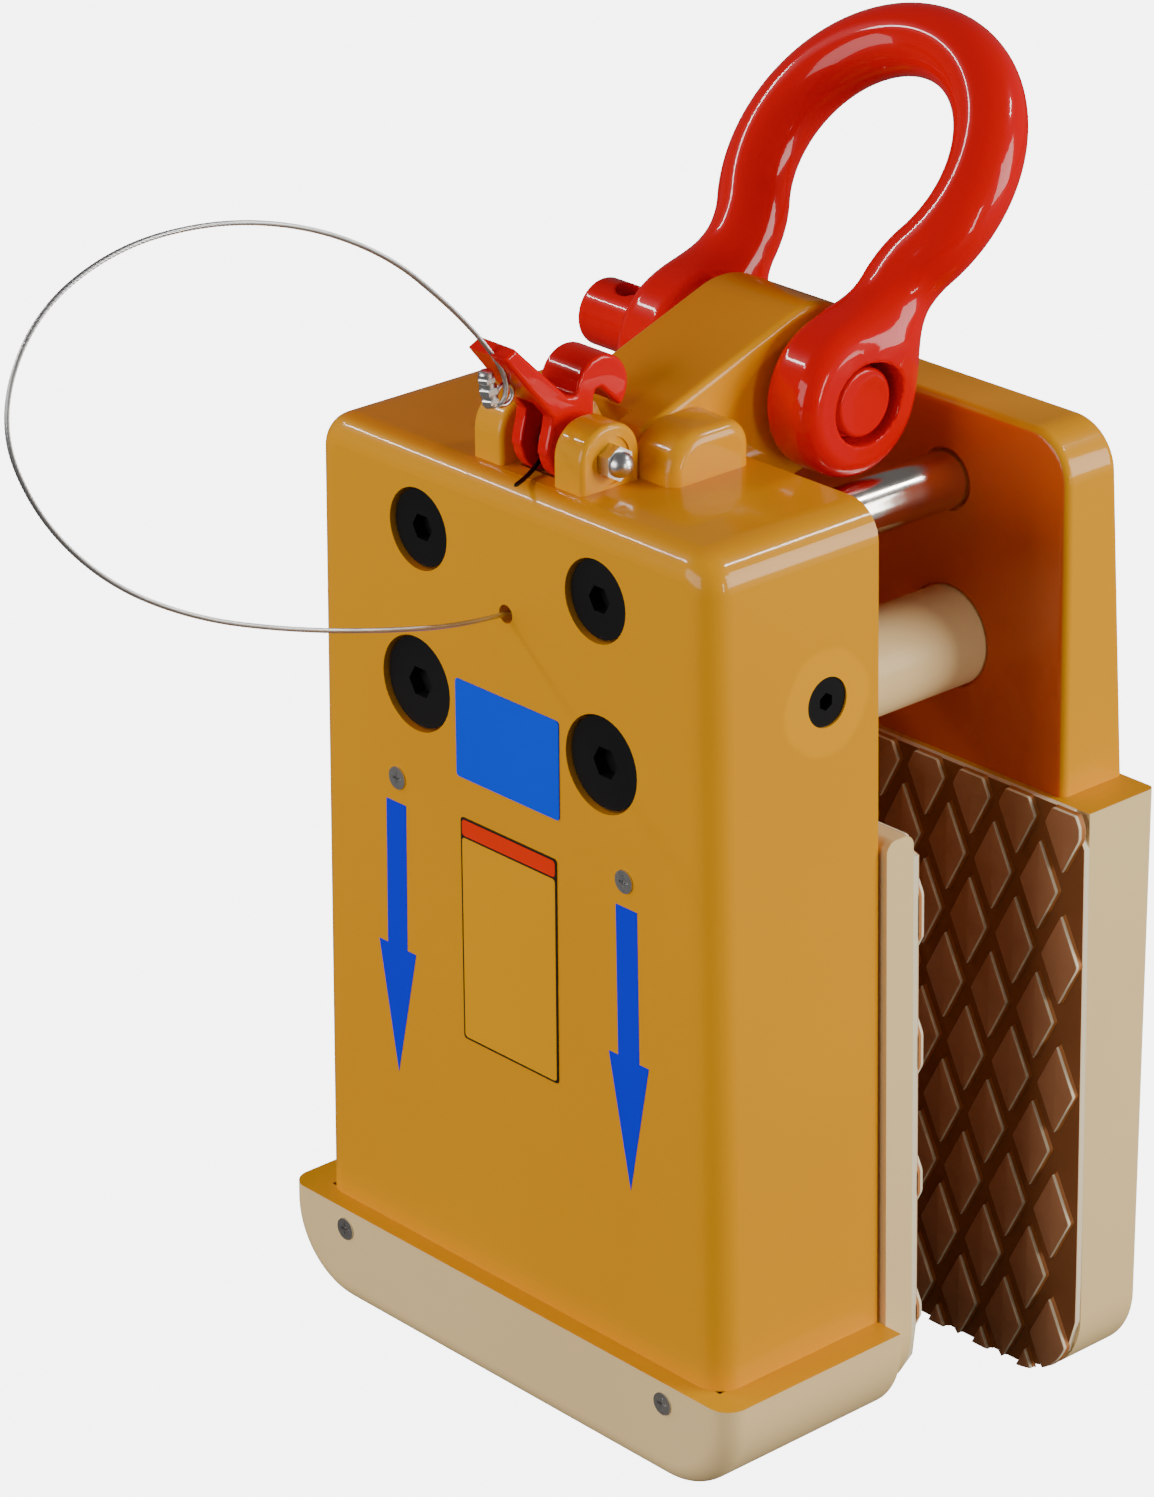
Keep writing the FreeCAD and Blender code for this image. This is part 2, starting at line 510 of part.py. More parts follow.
# Diamond pads: a thin backing sheet and staggered rows of raised diamonds, clipped near the
# backing's own outline. The way is the sign of Y towards which the diamonds stand.
def diamond_pad(label, back, way, half, top, bottom, corner):
    """Pad on a jaw whose face lies at back."""
    thick, high = val("pad_thick"), val("diamond_high")

    def slab(start, deep, inset):
        """Outline with round lower corners, drawn in by an inset and given a depth."""
        up, down = -val(top) - inset, -val(bottom) + inset
        wide_up = val(half) - val("side_draft_share") * up - inset
        wide_down = val(half) - val("side_draft_share") * down - inset
        spots = [Vector(-wide_up, start, up), Vector(-wide_down, start, down),
                 Vector(wide_down, start, down), Vector(wide_up, start, up)]
        solid = Part.Face(Part.makePolygon(spots + spots[:1])).extrude(Vector(0, deep, 0))
        low = [e for e in solid.Edges if abs(e.tangentAt(e.FirstParameter).y) > 1 - NEAR
               and e.CenterOfMass.z < (up + down) / 2]
        return solid.makeFillet(val(corner) - inset, low)

    face = val(back) + way * thick
    clip = slab(face, way * high, val("pad_border"))
    wide, tall = val("diamond_half_wide"), val("diamond_half_tall")
    first = -val(top) - val("diamond_first_drop")
    studs = []
    rows = int((val(bottom) - val(top)) / val("diamond_step") * 2) + 2
    reach = int(clip.BoundBox.XMax / val("diamond_pitch")) + 1
    for row in range(rows):
        height = first - row * val("diamond_step") / 2
        for column in range(-reach, reach + 1):
            across = (column + (1 - row % 2) / 2) * val("diamond_pitch")
            if abs(across) > clip.BoundBox.XMax + wide / 2:
                continue
            spots = [Vector(across + wide, face, height), Vector(across, face, height + tall),
                     Vector(across - wide, face, height), Vector(across, face, height - tall)]
            stud = Part.Face(Part.makePolygon(spots + spots[:1]))
            stud = stud.extrude(Vector(0, way * high, 0)).common(clip)
            if stud.Volume > wide * high:
                studs.append(stud)
    made = doc.addObject("Part::Feature", label)
    made.Shape = slab(val(back), way * thick, 0).fuse(studs)
    return keep(made, label)


diamond_pad("rear_pad", "block_front", -1, "block_half", "plate_low + seat_gap", "block_drop",
            "block_round")
diamond_pad("moving_pad", "jaw_front + jaw_thick", 1, "jaw_half", "jaw_top_drop + jaw_edge",
            "jaw_bottom_drop", "jaw_round")

# Tie bars: two bright shafts above, and two load rods in painted sleeves below.
TIE_SPOTS = {"upper": "upper_tie_up", "lower": "-lower_tie_drop"}


def tie_bar(side, across):
    """Bar between casing and plate, bored at both ends for its screws."""
    x, z = side + across + "_tie_side", TIE_SPOTS[across]
    end = "plate_front + tie_seat_deep"
    bar = rod("y", (x, "tie_bore_front", z), across + "_tie_radius", end + " - tie_bore_front")
    bore = "tie_screw_radius + seat_gap"
    front = rod("y", (x, "tie_bore_front - cut_over", z), bore, "tie_screw_long + cut_over")
    back = rod("y", (x, end + " - tie_screw_long", z), bore, "tie_screw_long + cut_over")
    return joined("Part::Cut", [bar, front, back])


def sleeve(side):
    """Tube over a lower rod, from the casing's boss into the plate's ring."""
    at = (side + "lower_tie_side", "tie_boss_back", TIE_SPOTS["lower"])
    tube = rod("y", at, "sleeve_radius", "plate_front + tie_ring_deep - tie_boss_back")
    hole = rod("y", along("y", at, "-cut_over"), "lower_tie_radius + seat_gap",
               "plate_front + cut_over * 2 + tie_ring_deep - tie_boss_back")
    return joined("Part::Cut", [tube, hole])


def front_tie_screw(side, across):
    """Countersunk key screw in the casing's front, into the end of its bar."""
    at = (side + across + "_tie_side", "tie_head_sink", TIE_SPOTS[across])
    return socket_screw(at, across + "_head_radius", "head_rim", "head_cone",
                        "tie_screw_radius", "tie_screw_long", across + "_key_radius")


def rear_tie_screw(side, across):
    """The same kind of screw in the back of the rear plate."""
    at = (side + across + "_tie_side", "plate_front + plate_thick_top - head_sink",
          TIE_SPOTS[across])
    return socket_screw(at, "upper_head_radius", "head_rim", "head_cone", "tie_screw_radius",
                        "tie_screw_long", "upper_key_radius", way=-1)


pair("upper_tie_shafts", lambda side: tie_bar(side, "upper"))
pair("lower_tie_rods", lambda side: tie_bar(side, "lower"))
pair("lower_sleeves", sleeve)
pair("upper_cap_screws", lambda side: front_tie_screw(side, "upper"))
pair("lower_cap_screws", lambda side: front_tie_screw(side, "lower"))
keep(joined("Part::Compound", [rear_tie_screw(side, across) for side in ("-", "")
                               for across in ("upper", "lower")]), "rear_tie_screws")
pair("front_screws", lambda side: cross_screw((side + "front_screw_side", "0",
                                               "-front_screw_drop")))
pair("guard_screws", lambda side: cross_screw((side + "guard_screw_side", "-guard_front",
                                               "-guard_screw_drop")))


def side_bolt(side):
    """Key bolt through the casing's side wall into the guide rail."""
    face = "casing_half + side_draft_share * side_bolt_drop - head_sink"
    at = (side + "(" + face + ")", "side_bolt_back", "-side_bolt_drop")
    way = -1
    if side:
        way = 1
    return socket_screw(at, "side_head_radius", "casing_wall", "head_rim",
                        "side_shank_radius", "side_shank_long", "side_key_radius", "x", way)


pair("side_bolts", side_bolt)

# Guide rails: a grooved plate on each side wall, with a foot that the front screws hold.
rails = new_body("guide_rails")
rail_wall = "casing_half - casing_wall - seat_gap"
pad(rails, "XZ", "rail_front", "rail_back",
    [[("rail_inner", "-rail_top_drop"), ("rail_inner", "-rail_low_drop"),
      (rail_wall + " + side_draft_share * rail_low_drop", "-rail_low_drop"),
      (rail_wall + " + side_draft_share * rail_top_drop", "-rail_top_drop")]])
pad(rails, "XZ", "casing_wall", "casing_wall + rail_foot_thick",
    [rectangle("rail_foot_inner", "rail_inner + rail_foot_thick * 2", "-rail_foot_low",
               "-rail_foot_top")])
pocket(rails, "XZ", "casing_wall - cut_over", "rail_front + rail_foot_thick",
       circles=[("front_screw_side", "-front_screw_drop", "cross_shank_radius + seat_gap")])
for drop in ("upper_arm_drop", "lower_arm_drop"):
    # the groove is as wide as a roller and follows the jaw's way back and down
    start, end = "roller_back", "roller_back + jaw_travel_back"
    pocket(rails, "YZ", "rail_inner - cut_over", "rail_inner + roller_long + part_gap",
           [[(start, "-%s + roller_radius + part_gap" % drop),
             (start, "-%s - roller_radius - part_gap" % drop),
             (end, "-%s - jaw_travel_down - roller_radius - part_gap" % drop),
             (end, "-%s - jaw_travel_down + roller_radius + part_gap" % drop)]])
    for back, fall in ((start, "0"), (end, "jaw_travel_down")):
        pocket(rails, "YZ", "rail_inner - cut_over", "rail_inner + roller_long + part_gap",
               circles=[(back, "-%s - %s" % (drop, fall), "roller_radius + part_gap")])
pocket(rails, "YZ", "rail_inner - cut_over", "casing_half",
       circles=[("side_bolt_back", "-side_bolt_drop", "side_shank_radius + seat_gap")])
pocket(rails, "YZ",
       "casing_half + side_draft_share * side_bolt_drop - head_sink - casing_wall - head_rim",
       "casing_half",
       circles=[("side_bolt_back", "-side_bolt_drop", "side_head_radius + seat_gap")])
both_sides(rails, [f for f in rails.Group if f.TypeId in ("PartDesign::Pad",
                                                          "PartDesign::Pocket")])

# Lifting lug: head, long stem inside the casing, and a recess in front that clears the hook.
def lifting_lug():
    """Lug of one thickness: a sloping top that runs tangent into the round head."""
    half, front, back = val("lug_half"), val("lug_front"), val("stem_back")
    middle = Vector(-half, val("lug_pin_back"), val("lug_pin_up"))
    radius, slope = val("lug_head_radius"), math.radians(val("lug_slope_degrees"))

    def spot(y, z):
        """Point on the lug's left face."""
        return Vector(-half, y, z)

    top = middle + Vector(0, -math.sin(slope), math.cos(slope)) * radius
    brow = spot(front, top.z - (top.y - front) * math.tan(slope))
    behind = middle + Vector(0, radius, 0)
    away = middle - spot(back, val("lug_under_up"))
    lean = math.atan2(away.z, away.y) - math.asin(radius / away.Length)
    under = middle + Vector(0, math.sin(lean), -math.cos(lean)) * radius
    corners = [under, spot(back, val("lug_under_up")), spot(back, -val("stem_drop")),
               spot(front, -val("stem_drop")), brow, top]
    edges = [Part.makeLine(p, q) for p, q in zip(corners, corners[1:])]
    edges.append(Part.Arc(top, behind, under).toShape())
    solid = Part.Face(Part.Wire(edges)).extrude(Vector(half * 2, 0, 0))
    rims = [e for e in solid.Edges if e.CenterOfMass.y < front + NEAR
            or abs(abs(e.CenterOfMass.x) - half) < NEAR and e.CenterOfMass.z > 0]
    rims = [e for e in rims if e.CenterOfMass.z > NEAR - val("stem_drop")]
    solid = solid.makeFillet(val("lug_edge"), rims)
    recess = Part.makeBox(val("lug_recess_half * 2"), val("lug_recess_back - lug_front") +
                          val("cut_over"), val("lug_recess_drop") + top.z,
                          Vector(-val("lug_recess_half"), front - val("cut_over"),
                                 -val("lug_recess_drop")))
    solid = solid.cut(recess)
    for y, z, size in ((middle.y, middle.z, "pin_radius + running_gap"),
                       (val("cam_pin_back"), -val("cam_pin_drop"), "cam_pin_radius + seat_gap")):
        solid = solid.cut(Part.makeCylinder(val(size), half * 2, spot(y, z), Vector(1, 0, 0)))
    return solid


lug = doc.addObject("Part::Feature", "lifting_lug")
lug.Shape = lifting_lug()
keep(lug, "lifting_lug")

cam_pin = rod("x", ("-cam_pin_half", "cam_pin_back", "-cam_pin_drop"), "cam_pin_radius",
              "cam_pin_half * 2")
keep(joined("Part::Compound", [cam_pin]), "cam_pin")

# Jaw carrier: web behind the jaw, slotted cheeks round the lug's stem, and arms with rollers.
carrier = new_body("jaw_carrier")
web_front = "jaw_front - web_thick"
pad(carrier, "XZ", web_front, "jaw_front",
    [[("-web_half", "-web_low_drop"), ("web_half", "-web_low_drop"),
      ("web_half", "-cheek_top_drop"), ("cheek_inner", "-cheek_top_drop"),
      ("cheek_inner", "-window_drop"), ("-cheek_inner", "-window_drop"),
      ("-cheek_inner", "-cheek_top_drop"), ("-web_half", "-cheek_top_drop")]])
for side in ("-", ""):
    inner, outer = side + "cheek_inner", side + "(cheek_inner + cheek_thick)"
    low, high = (outer, inner) if side else (inner, outer)
    pad(carrier, "YZ", low, high,
        [rectangle("cheek_front", web_front, "-cheek_low_drop", "-cheek_top_drop")])
    inner, outer = side + "arm_inner", side + "web_half"
    low, high = (outer, inner) if side else (inner, outer)
    for drop in ("upper_arm_drop", "lower_arm_drop"):
        pad(carrier, "YZ", low, high,
            [rectangle("arm_front", web_front, "-%s - arm_half_tall" % drop,
                       "-%s + arm_half_tall" % drop)])
    for drop in ("jaw_screw_upper", "jaw_screw_lower"):
        pocket(carrier, "XZ", web_front + " - cut_over", "jaw_front + cut_over",
               circles=[(side + "jaw_screw_side", "-" + drop, "jaw_screw_radius + seat_gap")])
cam_run = (("cam_pin_back", "-cam_pin_drop"),
           ("cam_pin_back - jaw_travel_back", "lug_travel + jaw_travel_down - cam_pin_drop"))
run = "sqrt(jaw_travel_back ^ 2 + (lug_travel + jaw_travel_down) ^ 2)"
aside = ("(cam_pin_radius + cam_slot_gap) * (lug_travel + jaw_travel_down) / " + run,
         "(cam_pin_radius + cam_slot_gap) * jaw_travel_back / " + run)
span = ("-cheek_inner - cheek_thick - cut_over", "cheek_inner + cheek_thick + cut_over")
(foot_y, foot_z), (head_y, head_z) = cam_run
pocket(carrier, "YZ", span[0], span[1],
       [[("%s + %s" % (foot_y, aside[0]), "%s + %s" % (foot_z, aside[1])),
         ("%s + %s" % (head_y, aside[0]), "%s + %s" % (head_z, aside[1])),
         ("%s - %s" % (head_y, aside[0]), "%s - %s" % (head_z, aside[1])),
         ("%s - %s" % (foot_y, aside[0]), "%s - %s" % (foot_z, aside[1]))]])
for spot in cam_run:
    pocket(carrier, "YZ", span[0], span[1], circles=[spot + ("cam_pin_radius + cam_slot_gap",)])
for drop in ("upper_arm_drop", "lower_arm_drop"):
    pocket(carrier, "YZ", "-web_half - cut_over", "web_half + cut_over",
           circles=[("roller_back", "-" + drop, "axle_radius + seat_gap")])


def roller(side, drop):
    """Roller that runs in a rail's groove."""
    start = "web_half + part_gap"
    x = start if not side else "-(%s) - roller_long" % start
    at = (x, "roller_back", "-" + drop)
    ring = rod("x", at, "roller_radius", "roller_long")
    return joined("Part::Cut", [ring, rod("x", along("x", at, "-cut_over"),
                                          "axle_radius + running_gap",
                                          "roller_long + cut_over * 2")])


def axle(side, drop):
    """Pin of a roller, headed on the arm's inner side."""
    long = "web_half + part_gap + roller_long - arm_inner"
    x = "arm_inner" if not side else "-arm_inner - (%s)" % long
    head = "arm_inner - axle_radius" if not side else "-arm_inner"
    return joined("Part::MultiFuse",
                  [rod("x", (x, "roller_back", "-" + drop), "axle_radius", long),
                   rod("x", (head, "roller_back", "-" + drop), "axle_head_radius",
                       "axle_radius")])


ARM_SPOTS = [(side, drop) for side in ("-", "") for drop in ("upper_arm_drop",
                                                             "lower_arm_drop")]
keep(joined("Part::Compound", [roller(*spot) for spot in ARM_SPOTS]), "guide_rollers")
keep(joined("Part::Compound", [axle(*spot) for spot in ARM_SPOTS]), "roller_axles")


def jaw_screw(side, drop):
    """Cap screw from the web into the jaw."""
    head_at = (side + "jaw_screw_side", web_front + " - jaw_screw_head_long", "-" + drop)
    head = rod("y", head_at, "jaw_screw_head", "jaw_screw_head_long")
    shank = rod("y", along("y", head_at, "jaw_screw_head_long"), "jaw_screw_radius",
                "web_thick + jaw_screw_bite")
    key = primitive("Part::Prism", "y", along("y", head_at, "-cut_over"),
                    Circumradius="jaw_key_radius", Height="cut_over + jaw_key_deep", count=6)
    return joined("Part::Cut", [joined("Part::MultiFuse", [head, shank]), key])


keep(joined("Part::Compound", [jaw_screw(side, drop) for side in ("-", "")
                               for drop in ("jaw_screw_upper", "jaw_screw_lower")]),
     "jaw_screws")


# Shackle: a bow of round bar in one smooth run, with a forged eye at each end. It is drawn
# upright and then leans back about its pin.
def shackle_bow():
    """Bow through two neck arcs and one large arc, with its eyes."""
    rise, wide = val("bow_rise"), val("eye_mid")
    reach = val("bow_radius") + val("neck_radius")
    neck_x = wide + val("neck_radius")
    neck_z = rise - math.sqrt(reach ** 2 - neck_x ** 2)
    share = val("bow_radius") / reach
    meet = Vector(neck_x * share, 0, rise + (neck_z - rise) * share)
    middle = Vector(wide - neck_x, 0, 0) + (meet - Vector(neck_x, 0, neck_z))
    middle = Vector(neck_x, 0, neck_z) + middle.normalize() * val("neck_radius")
    foot = Vector(wide, 0, val("eye_foot"))
    start = Vector(wide, 0, neck_z)
    flip = [Vector(-v.x, 0, v.z) for v in (foot, start, middle, meet)]
    top = Vector(0, 0, rise + val("bow_radius"))
    path = Part.Wire([Part.makeLine(foot, start), Part.Arc(start, middle, meet).toShape(),
                      Part.Arc(meet, top, flip[3]).toShape(),
                      Part.Arc(flip[3], flip[2], flip[1]).toShape(),
                      Part.makeLine(flip[1], flip[0])])
    ring = Part.Wire(Part.makeCircle(val("shackle_rod_radius"), foot, Vector(0, 0, 1)))
    solid = path.makePipeShell([ring], True, False)
    for side in (1, -1):
        deep = val("eye_outer") - val("eye_inner")
        low = val("eye_inner") if side > 0 else -val("eye_outer")
        eye = Part.makeCylinder(val("eye_radius"), deep, Vector(low, 0, 0), Vector(1, 0, 0))
        rims = [e for e in eye.Edges if abs(e.tangentAt(e.FirstParameter).x) < NEAR]
        solid = solid.fuse(eye.makeFillet(val("eye_edge"), rims))
    bore = Part.makeCylinder(val("pin_radius + seat_gap"), val("eye_outer * 2 + cut_over * 2"),
                             Vector(-val("eye_outer + cut_over"), 0, 0), Vector(1, 0, 0))
    return solid.cut(bore)


bow = doc.addObject("Part::Feature", "shackle_bow")
lean_back = Placement(Vector(0, val("lug_pin_back"), val("lug_pin_up")),
                      Rotation(Vector(1, 0, 0), -val("shackle_lean_degrees")))
bow.Shape = shackle_bow().transformed(lean_back.toMatrix(), copy=True)
keep(bow, "shackle_bow")

pin = new_body("shackle_pin")
pad(pin, "YZ", "-pin_head_outer", "eye_outer - pin_face_sink",
    circles=[("lug_pin_back", "lug_pin_up", "pin_radius")])
fillet(pin, "pin_edge", lambda c, t, e: abs(t.x) < NEAR and "Circle" in str(e.Curve))
pocket(pin, "XY", "lug_pin_up - pin_radius * 2", "lug_pin_up + pin_radius * 2",
       circles=[("-pin_hole_side", "lug_pin_back", "pin_hole_radius")])

# Latch hook: two cheeks on the bolt, a lever forward, and a round nose over the horn.
# Outline points as shares of the hook's length, from the bolt's axis: back, then up.
HOOK_SHARES = ((-0.26, 0), (-0.21, 0.2825), (-0.69, 0.855), (-0.565, 0.9075), (-0.06, 0.4075),
               (-0.0075, 0.41), (0.2075, 0.385), (0.2, 0))
NOTCH_SHARES = ((0.2, -0.025), (0.2075, 0.385), (0.2725, 0.4025), (0.465, 0.22),
                (0.66, 0.035), (0.66, -0.025))


def latch_hook():
    """Hook of one thickness, slit below for the spring."""
    half, axis_y, axis_z = val("hook_half"), val("latch_axis_back"), val("latch_axis_up")

    def plate_of(shares):
        """Prism over the hook's width from outline shares."""
        spots = [Vector(-half, axis_y + a * val("hook_long"), axis_z + b * val("hook_long"))
                 for a, b in shares]
        return Part.Face(Part.makePolygon(spots + spots[:1])).extrude(Vector(half * 2, 0, 0))

    def disc(y, z, radius, reach=half):
        """Cylinder across the hook."""
        return Part.makeCylinder(radius, reach * 2, Vector(-reach, y, z), Vector(1, 0, 0))

    nose = disc(val("nose_back"), val("nose_up"), val("nose_radius"))
    solid = plate_of(HOOK_SHARES).fuse(nose).cut(plate_of(NOTCH_SHARES))
    solid = solid.fuse(disc(axis_y, axis_z, val("hook_disc_radius")))
    low = axis_z - val("hook_disc_radius + cut_over")
    slit = Part.makeBox(val("hook_slit_half * 2"), val("hook_disc_radius * 2 + cut_over * 2"),
                        val("hook_slit_top") - low,
                        Vector(-val("hook_slit_half"), axis_y - val("hook_disc_radius + cut_over"),
                               low))
    bore = disc(axis_y, axis_z, val("latch_bolt_radius + running_gap"), half + val("cut_over"))
    return solid.cut(slit).cut(bore).removeSplitter()


hook = doc.addObject("Part::Feature", "latch_hook")
hook.Shape = latch_hook()
keep(hook, "latch_hook")

# Latch bolt through both ears, its acorn nut, and the spacer inside the spring.
bolt_head = primitive("Part::Prism", "x", ("-ear_outer - bolt_head_long", "latch_axis_back",
                                           "latch_axis_up"),
                      Circumradius="bolt_head_across / sqrt(3)", Height="bolt_head_long",
                      count=6)
bolt_shank = rod("x", ("-ear_outer", "latch_axis_back", "latch_axis_up"), "latch_bolt_radius",
                 "ear_outer * 2 + nut_long - nut_seat_deep")
keep(joined("Part::MultiFuse", [bolt_head, bolt_shank]), "latch_bolt")
nut_at = ("ear_outer - nut_seat_deep", "latch_axis_back", "latch_axis_up")
nut_hex = primitive("Part::Prism", "x", nut_at, Circumradius="nut_across / sqrt(3)",
                    Height="nut_long", count=6)
nut_dome = primitive("Part::Sphere", "x", along("x", nut_at, "nut_long"), Radius="dome_radius")
nut_bore = rod("x", along("x", nut_at, "-cut_over"), "latch_bolt_radius + seat_gap",
               "nut_long + cut_over + seat_gap")
keep(joined("Part::Cut", [joined("Part::MultiFuse", [nut_hex, nut_dome]), nut_bore]),
     "latch_nut")
spacer_at = ("-hook_slit_half + running_gap", "latch_axis_back", "latch_axis_up")
spacer = rod("x", spacer_at, "spacer_radius", "(hook_slit_half - running_gap) * 2")
spacer_bore = rod("x", along("x", spacer_at, "-cut_over"), "latch_bolt_radius + seat_gap",
                  "hook_slit_half * 2 + cut_over * 2")
keep(joined("Part::Cut", [spacer, spacer_bore]), "spring_spacer")


# Paths of round wire: pairs of arcs that share a tangent where they meet.
def arc_from(start, heading, end):
    """Arc that leaves start along a heading and reaches end."""
    chord = end - start
    along_chord = Vector(chord).normalize()
    lean = heading.getAngle(along_chord)
    if lean < 1e-6:
        return Part.makeLine(start, end)
    side = heading - along_chord * heading.dot(along_chord)
    rise = chord.Length / 2 * math.tan(lean / 2)
    return Part.Arc(start, (start + end) / 2 + side.normalize() * rise, end).toShape()


def two_arcs(start, heading, end, arrival):
    """Two arcs from one place and direction to another."""
    chord, both = end - start, heading + arrival
    bend = 2 * (1 - heading.dot(arrival))
    reach = (-chord.dot(both) + math.sqrt(chord.dot(both) ** 2 + bend * chord.dot(chord))) / bend
    meet = (start + end + (heading - arrival) * reach) / 2
    turn = meet - start
    onward = (turn * (2 * heading.dot(turn) / turn.dot(turn)) - heading)
    return [arc_from(start, heading, meet), arc_from(meet, onward.normalize(), end)]


def latch_spring():
    """Torsion spring: a leg to the casing's brow, turns round the spacer, and a leg up."""
    middle = Vector(0, val("latch_axis_back"), val("latch_axis_up"))
    radius, pitch = val("spring_radius"), val("spring_pitch")
    tip = Vector(0, val("spring_tip_back"), val("spring_tip_up"))
    away = middle - tip
    first = math.atan2(away.z, away.y) + math.asin(radius / away.Length) + math.pi / 2
    last = math.pi - math.tau * int(val("spring_turns_count"))
    steps = 4 * int(val("spring_turns_count"))
    shift = pitch * (first - last) / math.tau

    def on_coil(angle):
        """Place and direction on the coil; the angle falls as it is wound."""
        x = -shift / 2 + pitch * (first - angle) / math.tau
        spot = middle + Vector(x, radius * math.cos(angle), radius * math.sin(angle))
        heading = Vector(pitch / math.tau, radius * math.sin(angle), -radius * math.cos(angle))
        return spot, heading.normalize()

    angles = [first + (last - first) * i / steps for i in range(steps + 1)]
    spots = [on_coil(angle) for angle in angles]
    edges = []
    for (start, heading), (end, arrival) in zip(spots, spots[1:]):
        edges += two_arcs(start, heading, end, arrival)
    start, heading = spots[0]
    leg = (tip + Vector(start.x, 0, 0) - start).Length
    edges.insert(0, Part.makeLine(start - heading * leg, start))
    end, arrival = spots[-1]
    edges.append(Part.makeLine(end, end + arrival * (val("spring_leg_up") - end.z)))
    path = Part.Wire(edges)
    ring = Part.Wire(Part.makeCircle(val("spring_wire") / 2, start - heading * leg, heading))
    fine = [on_coil(first + (last - first) * i / 360)[0] for i in range(361)]
    per_turn = int(360 * math.tau / (first - last))
    gaps = [(a - b).Length - val("spring_wire")
            for i, a in enumerate(fine) for b in fine[i + per_turn // 2:]]
    print("spring: least gap to itself %.2f mm" % min(gaps))
    return path.makePipeShell([ring], True, False)


spring = doc.addObject("Part::Feature", "latch_spring")
spring.Shape = latch_spring()
keep(spring, "latch_spring")

# Release cable: hand-chosen points from the ferrule inside the casing, out of the front hole,
# round one free loop and back to the clip on the lever.
CABLE_ROUTE = ((0, 12, 0), (0, -14, 0.5), (0, -48, 8), (0, -84, 18.5), (0, -119, 32),
               (0, -150, 51.5), (0, -173, 78), (0, -184, 108), (0, -171, 136), (0, -142, 149),
               (0, -107, 149), (0, -73, 140), (0, -43, 124), (0, -21, 104), (0, -9.5, 87),
               (0, -4.5, 72.5))


def cable_path(route):
    """Straight runs joined by tangent arcs, each as large as its runs allow."""
    spots = [Vector(*spot) for spot in route]
    edges, radii, last = [], [], spots[0]
    for before, corner, after in zip(spots, spots[1:], spots[2:]):
        came, goes = corner - before, after - corner
        turn = came.getAngle(goes)
        cut = 0.45 * min(came.Length, goes.Length)
        enter = corner - came.normalize() * cut
        leave = corner + goes.normalize() * cut
        radii.append(cut / math.tan(turn / 2))
        edges.append(Part.makeLine(last, enter))
        edges.append(arc_from(enter, came.normalize(), leave))
        last = leave
    edges.append(Part.makeLine(last, spots[-1]))
    return Part.Wire(edges), radii


cable_wire, cable_radii = cable_path(CABLE_ROUTE)
cable_start = Vector(*CABLE_ROUTE[0])
cable_ring = Part.Wire(Part.makeCircle(val("cable_radius"), cable_start, Vector(0, 1, 0)))
cable = doc.addObject("Part::Feature", "release_cable")
cable.Shape = cable_wire.makePipeShell([cable_ring], True, False)
keep(cable, "release_cable")
print("cable: length %.1f mm, radii %s" % (cable_wire.Length,
                                            ", ".join("%.0f" % r for r in cable_radii)))
print("cable: volume over section times length %.4f"
      % (cable.Shape.Volume / (math.pi * val("cable_radius") ** 2 * cable_wire.Length)))

ferrule_at = ("0", "casing_wall", "0")
keep(joined("Part::Cut", [rod("y", ferrule_at, "ferrule_radius", "ferrule_long"),
                          rod("y", along("y", ferrule_at, "-cut_over"),
                              "cable_radius + running_gap * 2",
                              "ferrule_long + cut_over * 2")]),
     "cable_ferrule")


def cable_clip():
    """Pressed sleeve on the cable's end, with the wire eye that hangs it on the lever."""
    end = Vector(*CABLE_ROUTE[-1])
    back = (Vector(*CABLE_ROUTE[-2]) - end).normalize()
    foot = end - back * val("clip_from_end")
    sleeve_of = Part.makeCylinder(val("clip_radius"), val("clip_long"), foot, back)
    bore = Part.makeCylinder(val("cable_radius + seat_gap"), val("clip_long + cut_over"),
                             end - back * val("seat_gap"), back)
    eye = Part.makeTorus(val("clip_eye_radius"), val("cable_radius"),
                         Vector(0, val("clip_eye_back"), val("clip_eye_up")), Vector(1, 0, 0))
    return sleeve_of.fuse(eye).cut(bore)


clip = doc.addObject("Part::Feature", "cable_clip")
clip.Shape = cable_clip()
keep(clip, "cable_clip")

# Check every object, then write one file for each sub-part.
doc.recompute()
for item in doc.Objects:
    if "Invalid" in item.State or "Error" in item.State:
        raise RuntimeError("%s did not build: %s" % (item.Label, item.State))
for piece in parts:
    if piece.Shape.isNull() or not piece.Shape.isValid() or not piece.Shape.Solids:
        raise RuntimeError(piece.Label + " has no valid solid")
os.makedirs("parts", exist_ok=True)
for piece in parts:
    piece.Shape.exportStep(os.path.join("parts", piece.Label + ".step"))
print("%d nodes, %d solids" % (len(parts), sum(len(p.Shape.Solids) for p in parts)))
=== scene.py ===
"""Looks of the stone lifting clamp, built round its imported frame.

The frame is in metres: X across, Y from the casing to the rear jaw, Z up, with the origin in the
middle of the rear jaw's foot. Shapes are worked out in millimetres in the casing's frame, whose
origin is the cable's hole, and place() brings them over.
"""

import logging
import math
from dataclasses import dataclass
from enum import Enum
from typing import Callable, Iterable, Sequence

import bpy
import numpy as np
from mathutils import Matrix, Vector


